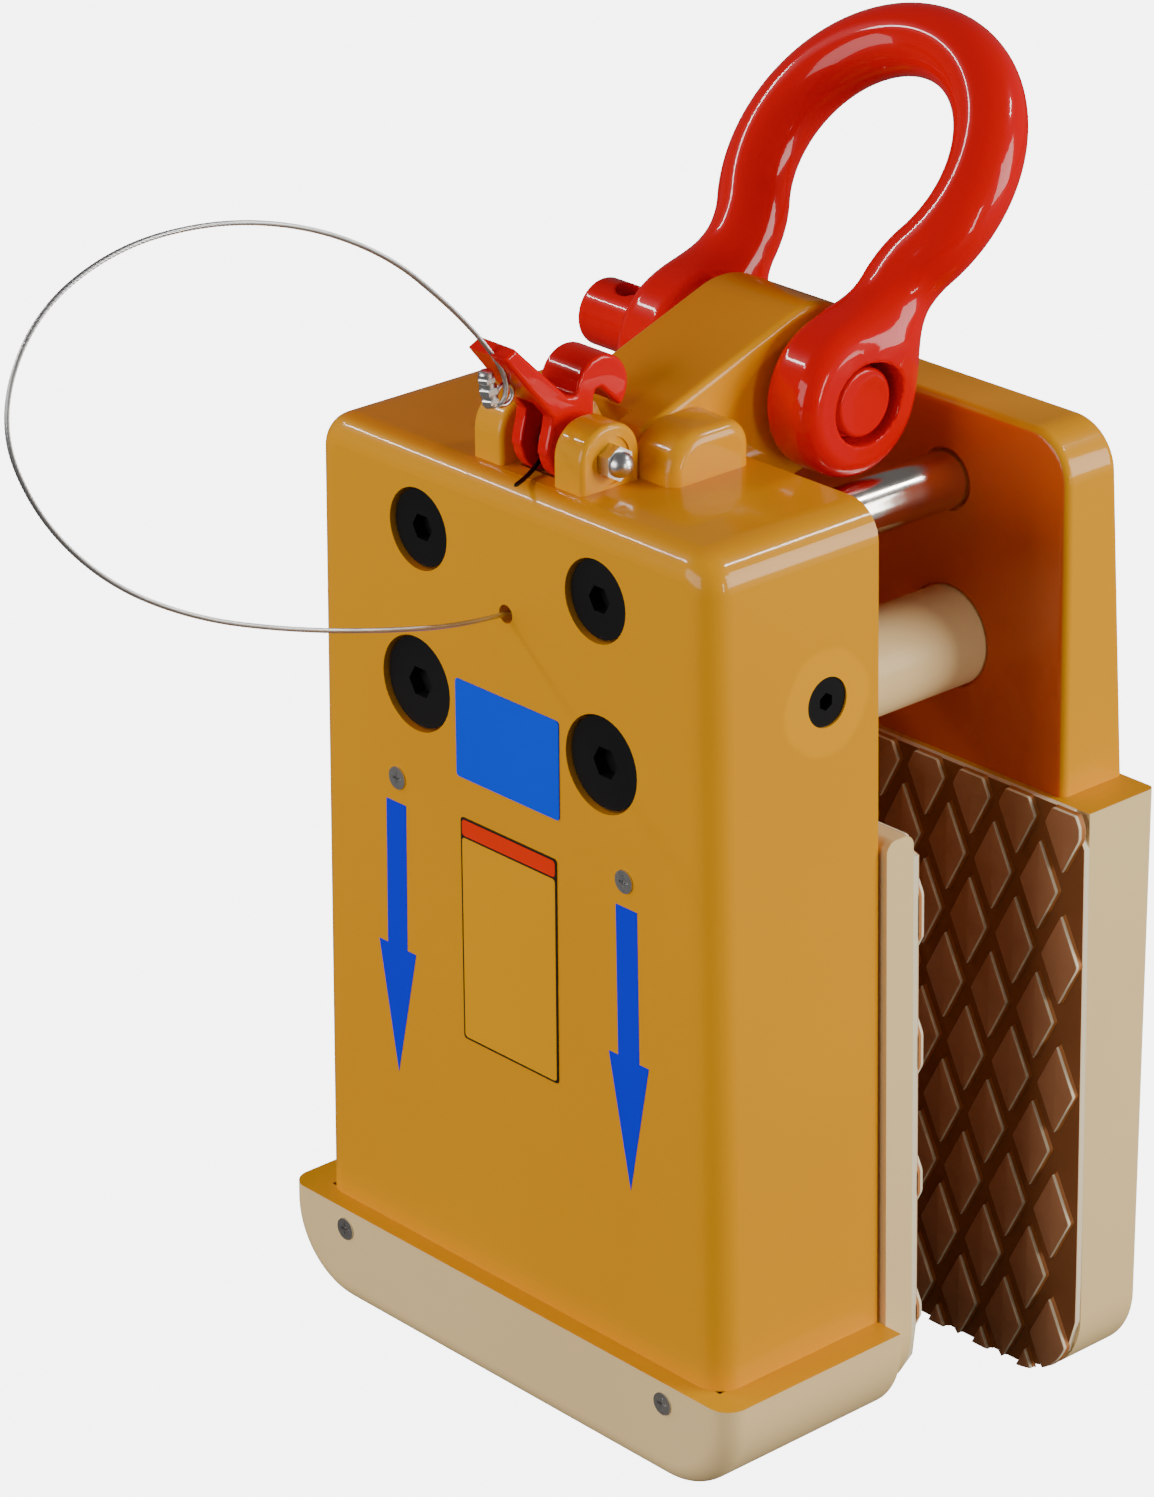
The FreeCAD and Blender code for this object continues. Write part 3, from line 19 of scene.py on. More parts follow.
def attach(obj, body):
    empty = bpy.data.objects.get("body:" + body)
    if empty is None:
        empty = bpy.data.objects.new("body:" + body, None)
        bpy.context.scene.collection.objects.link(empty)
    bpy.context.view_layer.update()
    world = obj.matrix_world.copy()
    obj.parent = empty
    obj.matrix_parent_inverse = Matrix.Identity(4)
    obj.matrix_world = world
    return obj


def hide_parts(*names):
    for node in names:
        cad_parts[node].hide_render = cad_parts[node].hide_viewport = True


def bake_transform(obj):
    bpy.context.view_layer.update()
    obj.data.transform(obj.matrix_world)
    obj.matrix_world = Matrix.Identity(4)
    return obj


LOG = logging.getLogger("clamp")
MM = 0.001

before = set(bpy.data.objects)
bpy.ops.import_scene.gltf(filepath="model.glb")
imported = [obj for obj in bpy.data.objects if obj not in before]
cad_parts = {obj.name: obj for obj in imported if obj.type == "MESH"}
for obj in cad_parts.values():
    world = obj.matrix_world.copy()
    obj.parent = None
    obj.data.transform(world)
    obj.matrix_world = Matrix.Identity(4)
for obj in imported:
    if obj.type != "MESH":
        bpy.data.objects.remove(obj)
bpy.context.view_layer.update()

HOLE = np.array([0.0, -159.95, 281.0])  # the casing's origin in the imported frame, millimetres
PIN_AXIS = (108.6, 52.5)  # (y, z) of the shackle's pin in the casing's frame
LATCH_AXIS = (21.0, 51.0)  # (y, z) of the latch hook's bolt

OBLIQUE = (0.31, 0.22, 0.92)  # any direction along none of the turned axes

Colour = tuple[float, float, float]
Point = tuple[float, float, float]
Mesh = tuple[np.ndarray, list[list[int]]]
Piece = bpy.types.Object
Socket = bpy.types.NodeSocket
Finishes = dict[str, bpy.types.Material]
Groups = dict[str, bpy.types.NodeTree]
Field = Callable[[np.ndarray], np.ndarray]


def place(x: float | np.ndarray, y: float | np.ndarray,
          z: float | np.ndarray) -> np.ndarray:
    """Points in metres from millimetres in the casing's frame."""
    return (np.stack(np.broadcast_arrays(x, y, z), -1) + HOLE) * MM


class Slot(Enum):
    """Material slots of the record."""

    YELLOW = "yellow_enamel"
    CREAM = "cream_enamel"
    RED = "red_enamel"
    PAD = "grip_pad"
    SHAFT = "bright_shaft"
    STEEL = "plain_steel"
    BLACK = "black_steel"
    SCREW = "bright_screw"
    SPRING = "spring_wire"
    WIRE = "wire_rope"


# Shader node groups


class Nodes:
    """Short way to add and join nodes in one tree."""

    def __init__(self, tree: bpy.types.NodeTree) -> None:
        """Keep the material's or group's tree that the nodes go into."""
        self.tree = tree

    def add(self, kind: str, **values: object) -> bpy.types.Node:
        """Add a node and set its properties.

        Args:
            kind: Blender's name for the node's type.
            **values: Properties to set on it.

        Returns:
            The new node.
        """
        node = self.tree.nodes.new(kind)
        for name, value in values.items():
            setattr(node, name, value)
        return node

    def join(self, source: Socket, target: Socket) -> None:
        """Link an output to an input."""
        self.tree.links.new(source, target)

    def fill(self, node: bpy.types.Node, values: dict[str, float | Sequence[float]]) -> None:
        """Set a node's inputs by their names."""
        for name, value in values.items():
            node.inputs[name].default_value = value

    def noise(self, vector: Socket, scale: float | Socket,
              detail: float = 4.0, rough: float = 0.55) -> Socket:
        """Noise over a vector.

        Args:
            vector: Where the noise is read.
            scale: Cells per metre, as a number or a socket.
            detail: Octaves.
            rough: How strong the finer octaves are.

        Returns:
            The noise value's socket.
        """
        node = self.add("ShaderNodeTexNoise")
        self.fill(node, {"Detail": detail, "Roughness": rough})
        self.join(vector, node.inputs["Vector"])
        self.feed(node.inputs["Scale"], scale)
        return node.outputs["Fac"]

    def feed(self, target: Socket,
             value: float | Sequence[float] | Socket) -> None:
        """Set an input to a value, or link it if the value is a socket."""
        if isinstance(value, Socket):
            self.join(value, target)
        else:
            target.default_value = value

    def math(self, operation: str, *values: float | Socket,
             clamp: bool = False) -> Socket:
        """Arithmetic on numbers or sockets.

        Args:
            operation: The math node's operation.
            *values: One to three operands.
            clamp: Whether the result is kept between 0 and 1.

        Returns:
            The result's socket.
        """
        node = self.add("ShaderNodeMath", operation=operation, use_clamp=clamp)
        for socket, value in zip(node.inputs, values):
            self.feed(socket, value)
        return node.outputs[0]

    def times(self, *values: float | Socket) -> Socket:
        """Product of all the values."""
        total = values[0]
        for value in values[1:]:
            total = self.math("MULTIPLY", total, value)
        return total

    def minus(self, first: float | Socket,
              second: float | Socket) -> Socket:
        """Difference of two values."""
        return self.math("SUBTRACT", first, second)

    def part(self, vector: Socket, axis: str) -> Socket:
        """One component, X, Y or Z, of a vector."""
        split = self.add("ShaderNodeSeparateXYZ")
        self.join(vector, split.inputs[0])
        return split.outputs[axis]

    def facing(self, axis: str) -> Socket:
        """One component of the surface's own normal."""
        return self.part(self.add("ShaderNodeTexCoord").outputs["Normal"], axis)

    def shader(self) -> bpy.types.Node:
        """The principled shader that a new material comes with."""
        return next(node for node in self.tree.nodes if node.type == "BSDF_PRINCIPLED")

    def ramp(self, value: Socket, low: float, high: float) -> Socket:
        """Smooth step from 0 at low to 1 at high."""
        node = self.add("ShaderNodeMapRange", interpolation_type="SMOOTHSTEP")
        self.join(value, node.inputs["Value"])
        self.fill(node, {"From Min": low, "From Max": high})
        return node.outputs["Result"]

    def mix(self, share: float | Socket,
            first: Sequence[float] | Socket,
            second: Sequence[float] | Socket) -> Socket:
        """Blend of two colours by a share of the second."""
        node = self.add("ShaderNodeMix", data_type="RGBA")
        self.feed(node.inputs[0], share)
        self.feed(node.inputs[6], first)
        self.feed(node.inputs[7], second)
        return node.outputs[2]


def new_group(name: str, inputs: dict[str, str], outputs: dict[str, str]
              ) -> tuple[Nodes, bpy.types.Node, bpy.types.Node]:
    """Start a shader node group.

    Args:
        name: The group's name.
        inputs: Socket names and their types.
        outputs: Socket names and their types.

    Returns:
        The helper, the group's input node and its output node.
    """
    tree = bpy.data.node_groups.new(name, "ShaderNodeTree")
    for way, sockets in (("INPUT", inputs), ("OUTPUT", outputs)):
        for label, kind in sockets.items():
            tree.interface.new_socket(label, in_out=way, socket_type=kind)
    kit = Nodes(tree)
    return kit, kit.add("NodeGroupInput"), kit.add("NodeGroupOutput")


FLOAT, COLOUR, VECTOR = "NodeSocketFloat", "NodeSocketColor", "NodeSocketVector"


def paint_group() -> bpy.types.NodeTree:
    """Sprayed enamel: cloudy tone, fine orange peel, and dust in small specks.

    Returns:
        Group that puts out Colour, Roughness and Height.
    """
    kit, given, made = new_group(
        "sprayed_enamel",
        {"Vector": VECTOR, "Tone": COLOUR, "Deep tone": COLOUR, "Cloud": FLOAT,
         "Roughness": FLOAT, "Peel": FLOAT},
        {"Colour": COLOUR, "Roughness": FLOAT, "Height": FLOAT})
    vector = given.outputs["Vector"]
    dust, wander = 0.3, 0.12
    cloud = kit.ramp(kit.noise(vector, scale=9.0, detail=3.0), low=0.3, high=0.75)
    speck = kit.ramp(kit.noise(vector, scale=900.0, detail=2.0), low=0.72, high=0.86)
    tone = kit.mix(kit.times(cloud, given.outputs["Cloud"]), given.outputs["Tone"],
                   given.outputs["Deep tone"])
    kit.join(kit.mix(kit.times(speck, dust), tone, given.outputs["Deep tone"]),
             made.inputs["Colour"])
    change = kit.times(kit.noise(vector, scale=26.0, detail=5.0), wander)
    kit.join(kit.math("ADD", given.outputs["Roughness"], kit.minus(change, wander / 2)),
             made.inputs["Roughness"])
    peel = kit.noise(vector, scale=420.0, detail=2.0)
    kit.join(kit.times(peel, given.outputs["Peel"]), made.inputs["Height"])
    return kit.tree


def metal_group() -> bpy.types.NodeTree:
    """Worked metal: turning marks round one axis, and smudges.

    Returns:
        Group that puts out Colour, Roughness and Height.
    """
    kit, given, made = new_group(
        "worked_metal",
        {"Vector": VECTOR, "Tone": COLOUR, "Smudge tone": COLOUR, "Grain": VECTOR,
         "Roughness": FLOAT, "Marks": FLOAT},
        {"Colour": COLOUR, "Roughness": FLOAT, "Height": FLOAT})
    stretched = kit.add("ShaderNodeVectorMath", operation="MULTIPLY")
    kit.join(given.outputs["Vector"], stretched.inputs[0])
    kit.join(given.outputs["Grain"], stretched.inputs[1])
    stain, wander = 0.55, 0.10
    lines = kit.noise(stretched.outputs[0], scale=1.0, detail=5.0, rough=0.7)
    smudge = kit.ramp(kit.noise(given.outputs["Vector"], scale=60.0), low=0.35, high=0.8)
    kit.join(kit.mix(kit.times(smudge, stain), given.outputs["Tone"],
                     given.outputs["Smudge tone"]), made.inputs["Colour"])
    change = kit.times(kit.math("ADD", lines, smudge), wander)
    kit.join(kit.math("ADD", given.outputs["Roughness"], change), made.inputs["Roughness"])
    kit.join(kit.times(lines, given.outputs["Marks"]), made.inputs["Height"])
    return kit.tree


@dataclass(frozen=True)
class Finish:
    """One finish and the numbers that its material is made from."""

    slot: Slot
    tone: Colour
    deep: Colour
    roughness: float
    metallic: float = 0.0
    coat: float = 0.0
    coat_roughness: float = 0.05
    cloud: float = 0.5
    peel: float = 0.4
    grain: Point = (900.0, 40.0, 40.0)
    bump: float = 0.05
    bump_distance: float = 0.0004
    specular: float = 0.12

    def tint(self, kit: Nodes, colour: Socket,
             place_of: Socket) -> Socket:
        """Change the colour where a finish asks for it; a plain finish keeps it.

        Args:
            kit: The material's node helper.
            colour: The colour so far.
            place_of: Object coordinates.

        Returns:
            The colour's socket.
        """
        return colour

    def build(self, groups: Groups, name: str = "") -> bpy.types.Material:
        """Make the material.

        Args:
            groups: The shader groups by name.
            name: The material's name, or the slot's own name.

        Returns:
            The finished material.
        """
        material = bpy.data.materials.new(name or self.slot.value)
        material.use_nodes = True
        kit = Nodes(material.node_tree)
        shader = kit.shader()
        group = kit.add("ShaderNodeGroup")
        place_of = kit.add("ShaderNodeTexCoord").outputs["Object"]
        deep = (*self.deep, 1.0)
        if self.metallic:
            group.node_tree = groups["metal"]
            values = {"Smudge tone": deep, "Grain": self.grain, "Marks": self.peel}
        else:
            group.node_tree = groups["paint"]
            values = {"Deep tone": deep, "Cloud": self.cloud, "Peel": self.peel}
        kit.fill(group, {"Tone": (*self.tone, 1.0), "Roughness": self.roughness, **values})
        kit.join(place_of, group.inputs["Vector"])
        bump = kit.add("ShaderNodeBump")
        kit.fill(bump, {"Strength": self.bump, "Distance": self.bump_distance})
        kit.join(self.tint(kit, group.outputs["Colour"], place_of), shader.inputs["Base Color"])
        kit.join(group.outputs["Roughness"], shader.inputs["Roughness"])
        kit.join(group.outputs["Height"], bump.inputs["Height"])
        kit.join(bump.outputs["Normal"], shader.inputs["Normal"])
        kit.fill(shader, {"Metallic": self.metallic, "Specular IOR Level": self.specular,
                          "Coat Weight": self.coat, "Coat Roughness": self.coat_roughness})
        return material


@dataclass(frozen=True)
class PatchedEnamel(Finish):
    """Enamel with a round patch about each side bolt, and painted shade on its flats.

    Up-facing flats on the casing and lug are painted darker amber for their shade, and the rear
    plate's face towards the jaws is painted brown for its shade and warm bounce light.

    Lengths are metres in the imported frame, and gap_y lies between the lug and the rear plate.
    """

    # top is painted shade on up-facing flats, darker amber towards their left; the three fields
    # below set its share and where it fades in
    top: Colour = (0.70, 0.20, 0.0)
    top_shade_share: tuple[float, float] = (0.65, 0.25)
    top_shade_from: float = -0.09
    top_shade_to: float = 0.05
    upward: tuple[float, float] = (0.72, 0.97)
    # inner is painted shade and warm bounce light on the rear plate's face towards the jaws
    inner: Colour = (0.80, 0.13, 0.02)
    forward: tuple[float, float] = (0.8, 0.95)
    gap_y: float = -0.03
    patch: Colour = (0.98, 0.42, 0.0)
    patch_share: float = 0.85
    spot: tuple[float, float] = (-0.1124, 0.2665)
    reach: float = 0.0185
    soft: float = 0.0025
    sides: tuple[float, float] = (0.086, 0.088)
    waver: float = 0.006
    waver_scale: float = 55.0

    def tint(self, kit: Nodes, colour: Socket,
             place_of: Socket) -> Socket:
        """Patch where hypot(y - y0, z - z0) < reach on the casing's sides.

        Painted shade: faces up on the casing and lug go darker amber towards their left, and the
        rear plate's face towards the jaws goes brown for its shade and warm bounce light.
        """
        x, y, z = (kit.part(place_of, axis) for axis in "XYZ")
        # Painted shade: up-facing flats go darker amber, more towards the left.
        left = kit.ramp(kit.times(x, -1.0), self.top_shade_from, self.top_shade_to)
        share = kit.times(kit.ramp(kit.facing("Z"), *self.upward),
                          kit.math("LESS_THAN", y, self.gap_y),
                          kit.math("MULTIPLY_ADD", left, *self.top_shade_share))
        colour = kit.mix(share, colour, (*self.top, 1.0))
        # Painted shade and warm bounce light on the rear plate's face towards the jaws.
        jaw_face_shade = kit.ramp(kit.times(kit.facing("Y"), -1.0), *self.forward)
        share = kit.times(jaw_face_shade, kit.math("GREATER_THAN", y, self.gap_y))
        colour = kit.mix(share, colour, (*self.inner, 1.0))
        dy, dz = kit.minus(y, self.spot[0]), kit.minus(z, self.spot[1])
        square = kit.math("ADD", kit.times(dy, dy), kit.times(dz, dz))
        wave = kit.times(kit.minus(kit.noise(place_of, self.waver_scale, 2.0), 0.5), self.waver)
        away = kit.math("ADD", kit.math("SQRT", square), wave)
        near = kit.minus(1.0, kit.ramp(away, self.reach - self.soft, self.reach))
        outer = kit.ramp(kit.math("ABSOLUTE", x), *self.sides)
        return kit.mix(kit.times(near, outer, self.patch_share), colour, (*self.patch, 1.0))


@dataclass(frozen=True)
class LedgedEnamel(Finish):
    """Cream enamel whose narrow flat ledges beside the yellow parts are yellow too."""

    ledge: Colour = (0.86, 0.40, 0.0)
    heights: tuple[float, ...] = (0.0483, 0.2044)
    reach: float = 0.0035
    upward: tuple[float, float] = (0.80, 0.93)

    def tint(self, kit: Nodes, colour: Socket,
             place_of: Socket) -> Socket:
        """Mix the ledge colour in where the normal points up near one of the heights."""
        z, flat = kit.part(place_of, "Z"), kit.ramp(kit.facing("Z"), *self.upward)
        for height in self.heights:
            gap = kit.math("ABSOLUTE", kit.minus(z, height))
            near = kit.math("LESS_THAN", gap, self.reach)
            colour = kit.mix(kit.times(near, flat), colour, (*self.ledge, 1.0))
        return colour


@dataclass(frozen=True)
class MouldedPad(Finish):
    """Brown pad moulding whose diamonds' walls are pale.

    The brown is painted shade on a cream moulding, and the pale walls are a painted highlight.

    Depths are in metres: rear_floor and moving_floor lie at the foot of each pad's diamonds.
    """

    # rim is the walls' painted highlight, foot the painted warm bounce light at their foot, and
    # base the painted shade on the floor between the diamonds
    rim: Colour = (1.0, 0.86, 0.60)
    foot: Colour = (0.56, 0.21, 0.06)
    base: Colour = (0.30, 0.115, 0.040)
    middle: float = -0.045
    rear_floor: float = -0.0155
    moving_floor: float = -0.0756
    floor_tall: tuple[float, float] = (0.0003, 0.0010)
    foot_at: float = 0.0005
    foot_reach: tuple[float, float] = (0.0005, 0.0010)
    flatness: tuple[float, float] = (0.55, 0.85)

    def tint(self, kit: Nodes, colour: Socket,
             place_of: Socket) -> Socket:
        """Painted highlight on the walls, warm at their foot with painted bounce light, and painted
        shade on the floor between the diamonds.

        The height is y - moving_floor on the moving pad and rear_floor - y on the rear pad.
        """
        y = kit.part(place_of, "Y")
        raised = kit.mix(kit.math("LESS_THAN", y, self.middle), kit.minus(self.rear_floor, y),
                         kit.minus(y, self.moving_floor))
        # Painted shade on the floor between the diamonds.
        floor = kit.minus(1.0, kit.ramp(raised, *self.floor_tall))
        shaded = kit.mix(floor, colour, (*self.base, 1.0))
        # Painted highlight on the diamonds' walls, with painted warm bounce light at their foot.
        away = kit.math("ABSOLUTE", kit.minus(raised, self.foot_at))
        painted_wall_light = kit.mix(kit.ramp(away, *self.foot_reach), (*self.foot, 1.0), (*self.rim, 1.0))
        flat = kit.ramp(kit.math("ABSOLUTE", kit.facing("Y")), *self.flatness)
        return kit.mix(flat, painted_wall_light, shaded)


FINISHES = (
    PatchedEnamel(Slot.YELLOW, (0.88, 0.375, 0.0), (0.82, 0.335, 0.0), 0.34, coat=0.45,
                  coat_roughness=0.06),
    LedgedEnamel(Slot.CREAM, (1.0, 0.73, 0.36), (0.95, 0.67, 0.32), 0.40, coat=0.12,
                 coat_roughness=0.2),
    Finish(Slot.RED, (0.80, 0.0, 0.004), (0.68, 0.0, 0.003), 0.24, coat=0.5,
           coat_roughness=0.04, peel=0.2, specular=0.05),
    # The pad's brown tone is painted shade on a cream moulding.
    MouldedPad(Slot.PAD, (0.54, 0.25, 0.125), (0.44, 0.20, 0.095), 0.5, coat=0.15,
               coat_roughness=0.3, cloud=0.9, peel=1.0, bump=0.2),
    Finish(Slot.SHAFT, (0.78, 0.74, 0.68), (0.55, 0.50, 0.44), 0.10, metallic=1.0,
           grain=(30.0, 700.0, 30.0), peel=0.3),
    Finish(Slot.STEEL, (0.42, 0.42, 0.43), (0.30, 0.29, 0.28), 0.38, metallic=1.0, peel=0.8),
    Finish(Slot.BLACK, (0.008, 0.008, 0.009), (0.02, 0.019, 0.018), 0.36, coat=0.2,
           coat_roughness=0.2, peel=0.8, bump=0.12),
    Finish(Slot.WIRE, (0.62, 0.62, 0.63), (0.35, 0.34, 0.33), 0.25, metallic=1.0, peel=0.4),
    Finish(Slot.SCREW, (0.75, 0.75, 0.76), (0.5, 0.48, 0.45), 0.22, metallic=1.0, peel=0.5),
    Finish(Slot.SPRING, (0.05, 0.05, 0.052), (0.03, 0.03, 0.03), 0.3, metallic=1.0, peel=0.3),
)
EXTRA_FINISHES = {
    "plate_blue": Finish(Slot.YELLOW, (0.0, 0.075, 1.0), (0.0, 0.06, 0.92), 0.34, coat=0.08),
    "notice_ink": Finish(Slot.YELLOW, (0.02, 0.015, 0.01), (0.04, 0.03, 0.02), 0.4, coat=0.2),
    "notice_band": Finish(Slot.YELLOW, (0.98, 0.03, 0.0), (0.92, 0.025, 0.0), 0.35,
                          coat=0.2),
    "notice_face": Finish(Slot.YELLOW, (0.92, 0.41, 0.0), (0.87, 0.37, 0.0), 0.36, coat=0.08),
    "arrow_paint": Finish(Slot.YELLOW, (0.0, 0.012, 0.92), (0.0, 0.01, 0.84), 0.34, coat=0.08),
}


# Meshes


def grid_faces(rows: int, columns: int, closed: bool) -> np.ndarray:
    """Quads of a grid, whose columns may close on themselves.

    Args:
        rows: Rings or lines of points.
        columns: Points in each.
        closed: Whether the last column joins the first.

    Returns:
        Corner indices, four to a row.
    """
    last = columns if closed else columns - 1
    r, c = np.meshgrid(np.arange(rows - 1), np.arange(last), indexing="ij")
    n = (c + 1) % columns
    return np.stack([r * columns + c, r * columns + n, (r + 1) * columns + n,
                     (r + 1) * columns + c], -1).reshape(-1, 4)


def mesh_piece(name: str, points: np.ndarray, faces: list[list[int]],
               smooth: float | None = 35.0) -> Piece:
    """Make an object from points and faces.

    Args:
        name: The piece's name.
        points: Corner places in metres, three to a row.
        faces: Corner indices of each face.
        smooth: Angle in degrees under which edges shade smooth, or None for flat faces.

    Returns:
        The object, in the scene.
    """
    mesh = bpy.data.meshes.new(name)
    mesh.from_pydata(np.asarray(points, dtype=float).tolist(), [], faces)
    mesh.validate()
    piece = bpy.data.objects.new(name, mesh)
    bpy.context.scene.collection.objects.link(piece)
    if smooth is not None:
        shade_by_angle(mesh, smooth)
    return piece


def shade_by_angle(mesh: bpy.types.Mesh, degrees: float) -> None:
    """Shade a mesh smooth, with sharp edges where faces turn more than an angle."""
    mesh.polygons.foreach_set("use_smooth", np.ones(len(mesh.polygons), dtype=bool))
    mesh.set_sharp_from_angle(angle=math.radians(degrees))


def around(count: int) -> np.ndarray:
    """Angles of points that stand evenly round a circle."""
    return np.arange(count) * math.tau / count


def tube(path: np.ndarray, radius: float | np.ndarray, sides: int, across: np.ndarray,
         capped: bool = True) -> Mesh:
    """Round bar along a path: each ring stands square to the path and is turned from across.

    Args:
        path: Points of the centre line.
        radius: One radius, or one for each point.
        sides: Points in a ring.
        across: Direction that the path never runs along.
        capped: Whether the ends are closed.

    Returns:
        Points and faces.
    """
    run = np.gradient(path, axis=0)
    run /= np.linalg.norm(run, axis=1, keepdims=True)
    side = np.cross(run, across)
    side /= np.linalg.norm(side, axis=1, keepdims=True)
    lift = np.cross(side, run)
    angle = around(sides)
    size = np.broadcast_to(np.asarray(radius, dtype=float), (len(path),))[:, None, None]
    cosine, sine = np.cos(angle)[None, :, None], np.sin(angle)[None, :, None]
    ring = side[:, None] * cosine + lift[:, None] * sine
    points = (path[:, None] + ring * size).reshape(-1, 3)
    faces = grid_faces(len(path), sides, True)[:, ::-1].tolist()
    if capped:
        faces.append(list(range(sides)))
        faces.append(list(range(len(points) - sides, len(points)))[::-1])
    return points, faces


def onto_surface(field: Field, points: np.ndarray, cell: float) -> np.ndarray:
    """Move points onto a surface by two steps p - f(p) * grad f / |grad f|^2.

    Args:
        field: Distance of points in millimetres, negative inside.
        points: Points near the surface.
        cell: Twice the longest step.

    Returns:
        The moved points.
    """
    probe, longest, least = 0.25 * cell, 0.5 * cell, 0.25
    for _ in range(2):
        slope = np.stack([(field(points + probe * e) - field(points - probe * e)) / (2 * probe)
                          for e in np.eye(3)], -1)
        size = np.maximum((slope ** 2).sum(1), least)
        move = (field(points) / size)[:, None] * slope
        points = points - np.clip(move, -longest, longest)
    return points


def shell_of(field: Field, low: Point, high: Point, cell: float
             ) -> tuple[np.ndarray, np.ndarray]:
    """Closed surface where a distance function is nought.

    Each cell of a cubic lattice whose corners differ in sign holds one point, the mean of the
    places p + (q - p) * f(p) / (f(p) - f(q)) on its edges pq, and each crossed lattice edge
    gives a quad of its four cells.

    Args:
        field: Distance of points in millimetres, negative inside.
        low: Lowest corner of the lattice in millimetres.
        high: Highest corner.
        cell: Lattice pitch in millimetres.

    Returns:
        Points in millimetres and quads.
    """
    count = np.ceil((np.array(high) - np.array(low)) / cell).astype(int) + 1
    axes = [low[k] + cell * np.arange(count[k]) for k in range(3)]
    lattice = np.stack(np.meshgrid(*axes, indexing="ij"), -1)
    value = field(lattice.reshape(-1, 3)).reshape(count)
    total = np.zeros((*(count - 1), 3))
    hits = np.zeros(tuple(count - 1))
    crossings = []
    for axis in range(3):
        near = [slice(None)] * 3
        far = [slice(None)] * 3
        near[axis], far[axis] = slice(0, -1), slice(1, None)
        first, second = value[tuple(near)], value[tuple(far)]
        cut = (first < 0) != (second < 0)
        share = np.where(cut, first / np.where(cut, first - second, 1.0), 0.0)
        spot = lattice[tuple(near)] + share[..., None] * cell * np.eye(3)[axis]
        others = [k for k in range(3) if k != axis]
        for a in (0, 1):
            for b in (0, 1):
                part = [slice(None)] * 3
                part[others[0]] = slice(a, count[others[0]] - 1 + a)
                part[others[1]] = slice(b, count[others[1]] - 1 + b)
                mark = cut[tuple(part)]
                total += np.where(mark[..., None], spot[tuple(part)], 0.0)
                hits += mark
        crossings.append((axis, cut, first < 0))
    used = hits > 0
    number = np.full(hits.shape, -1)
    number[used] = np.arange(used.sum())
    points = total[used] / hits[used][:, None]
    quads = []
    for axis, cut, inside in crossings:
        others = [k for k in range(3) if k != axis]
        spots = np.argwhere(cut)
        keep = np.all((spots[:, others] > 0) & (spots[:, others] < count[others] - 1), axis=1)
        spots = spots[keep]
        corners = []
        for a, b in ((1, 1), (0, 1), (0, 0), (1, 0)):
            cell_of = spots.copy()
            cell_of[:, others[0]] -= a
            cell_of[:, others[1]] -= b
            corners.append(number[tuple(cell_of.T)])
        quad = np.stack(corners, -1)
        forward = inside[tuple(spots.T)] ^ (axis == 1)
        quads.append(np.where(forward[:, None], quad, quad[:, ::-1]))
    return onto_surface(field, points, cell), np.concatenate(quads)


def blend_min(first: np.ndarray, second: np.ndarray, reach: float) -> np.ndarray:
    """Union of two distances with a fillet: min - h^2 * reach / 4, h = 1 - |a - b| / reach."""
    share = np.maximum(reach - np.abs(first - second), 0.0) / reach
    return np.minimum(first, second) - share ** 2 * reach / 4


def blend_max(first: np.ndarray, second: np.ndarray, reach: float) -> np.ndarray:
    """Overlap of two distances with a rounded edge, the mirror of blend_min."""
    return -blend_min(-first, -second, reach)


def disc_distance(points: np.ndarray, centre: Sequence[float], radius: float, half: float,
                  round_by: float) -> np.ndarray:
    """Distance to a disc whose axis runs along x, with rounded rims.

    Args:
        points: Places in millimetres.
        centre: The disc's middle.
        radius: Outer radius.
        half: Half its thickness.
        round_by: Radius of the rims.

    Returns:
        Signed distances.
    """
    shift = points - np.asarray(centre)
    out = np.hypot(shift[:, 1], shift[:, 2]) - radius + round_by
    side = np.abs(shift[:, 0]) - half + round_by
    outside = np.hypot(np.maximum(out, 0), np.maximum(side, 0))
    return outside + np.minimum(np.maximum(out, side), 0) - round_by


def arc_distance(across: np.ndarray, up: np.ndarray, centre: tuple[float, float],
                 radius: float, first: float, last: float) -> np.ndarray:
    """Distance in a plane to an arc.

    Args:
        across: First coordinates.
        up: Second coordinates.
        centre: The arc's centre.
        radius: The arc's radius.
        first: Angle of its start in radians.
        last: Angle of its end, past first.

    Returns:
        Distances, never negative.
    """
    dx, dz = across - centre[0], up - centre[1]
    middle = (first + last) / 2
    turn = np.arctan2(dz, dx) - middle
    turn = (turn + math.pi) % math.tau - math.pi
    held = np.clip(turn, (first - last) / 2, (last - first) / 2) + middle
    return np.hypot(dx - radius * np.cos(held), dz - radius * np.sin(held))


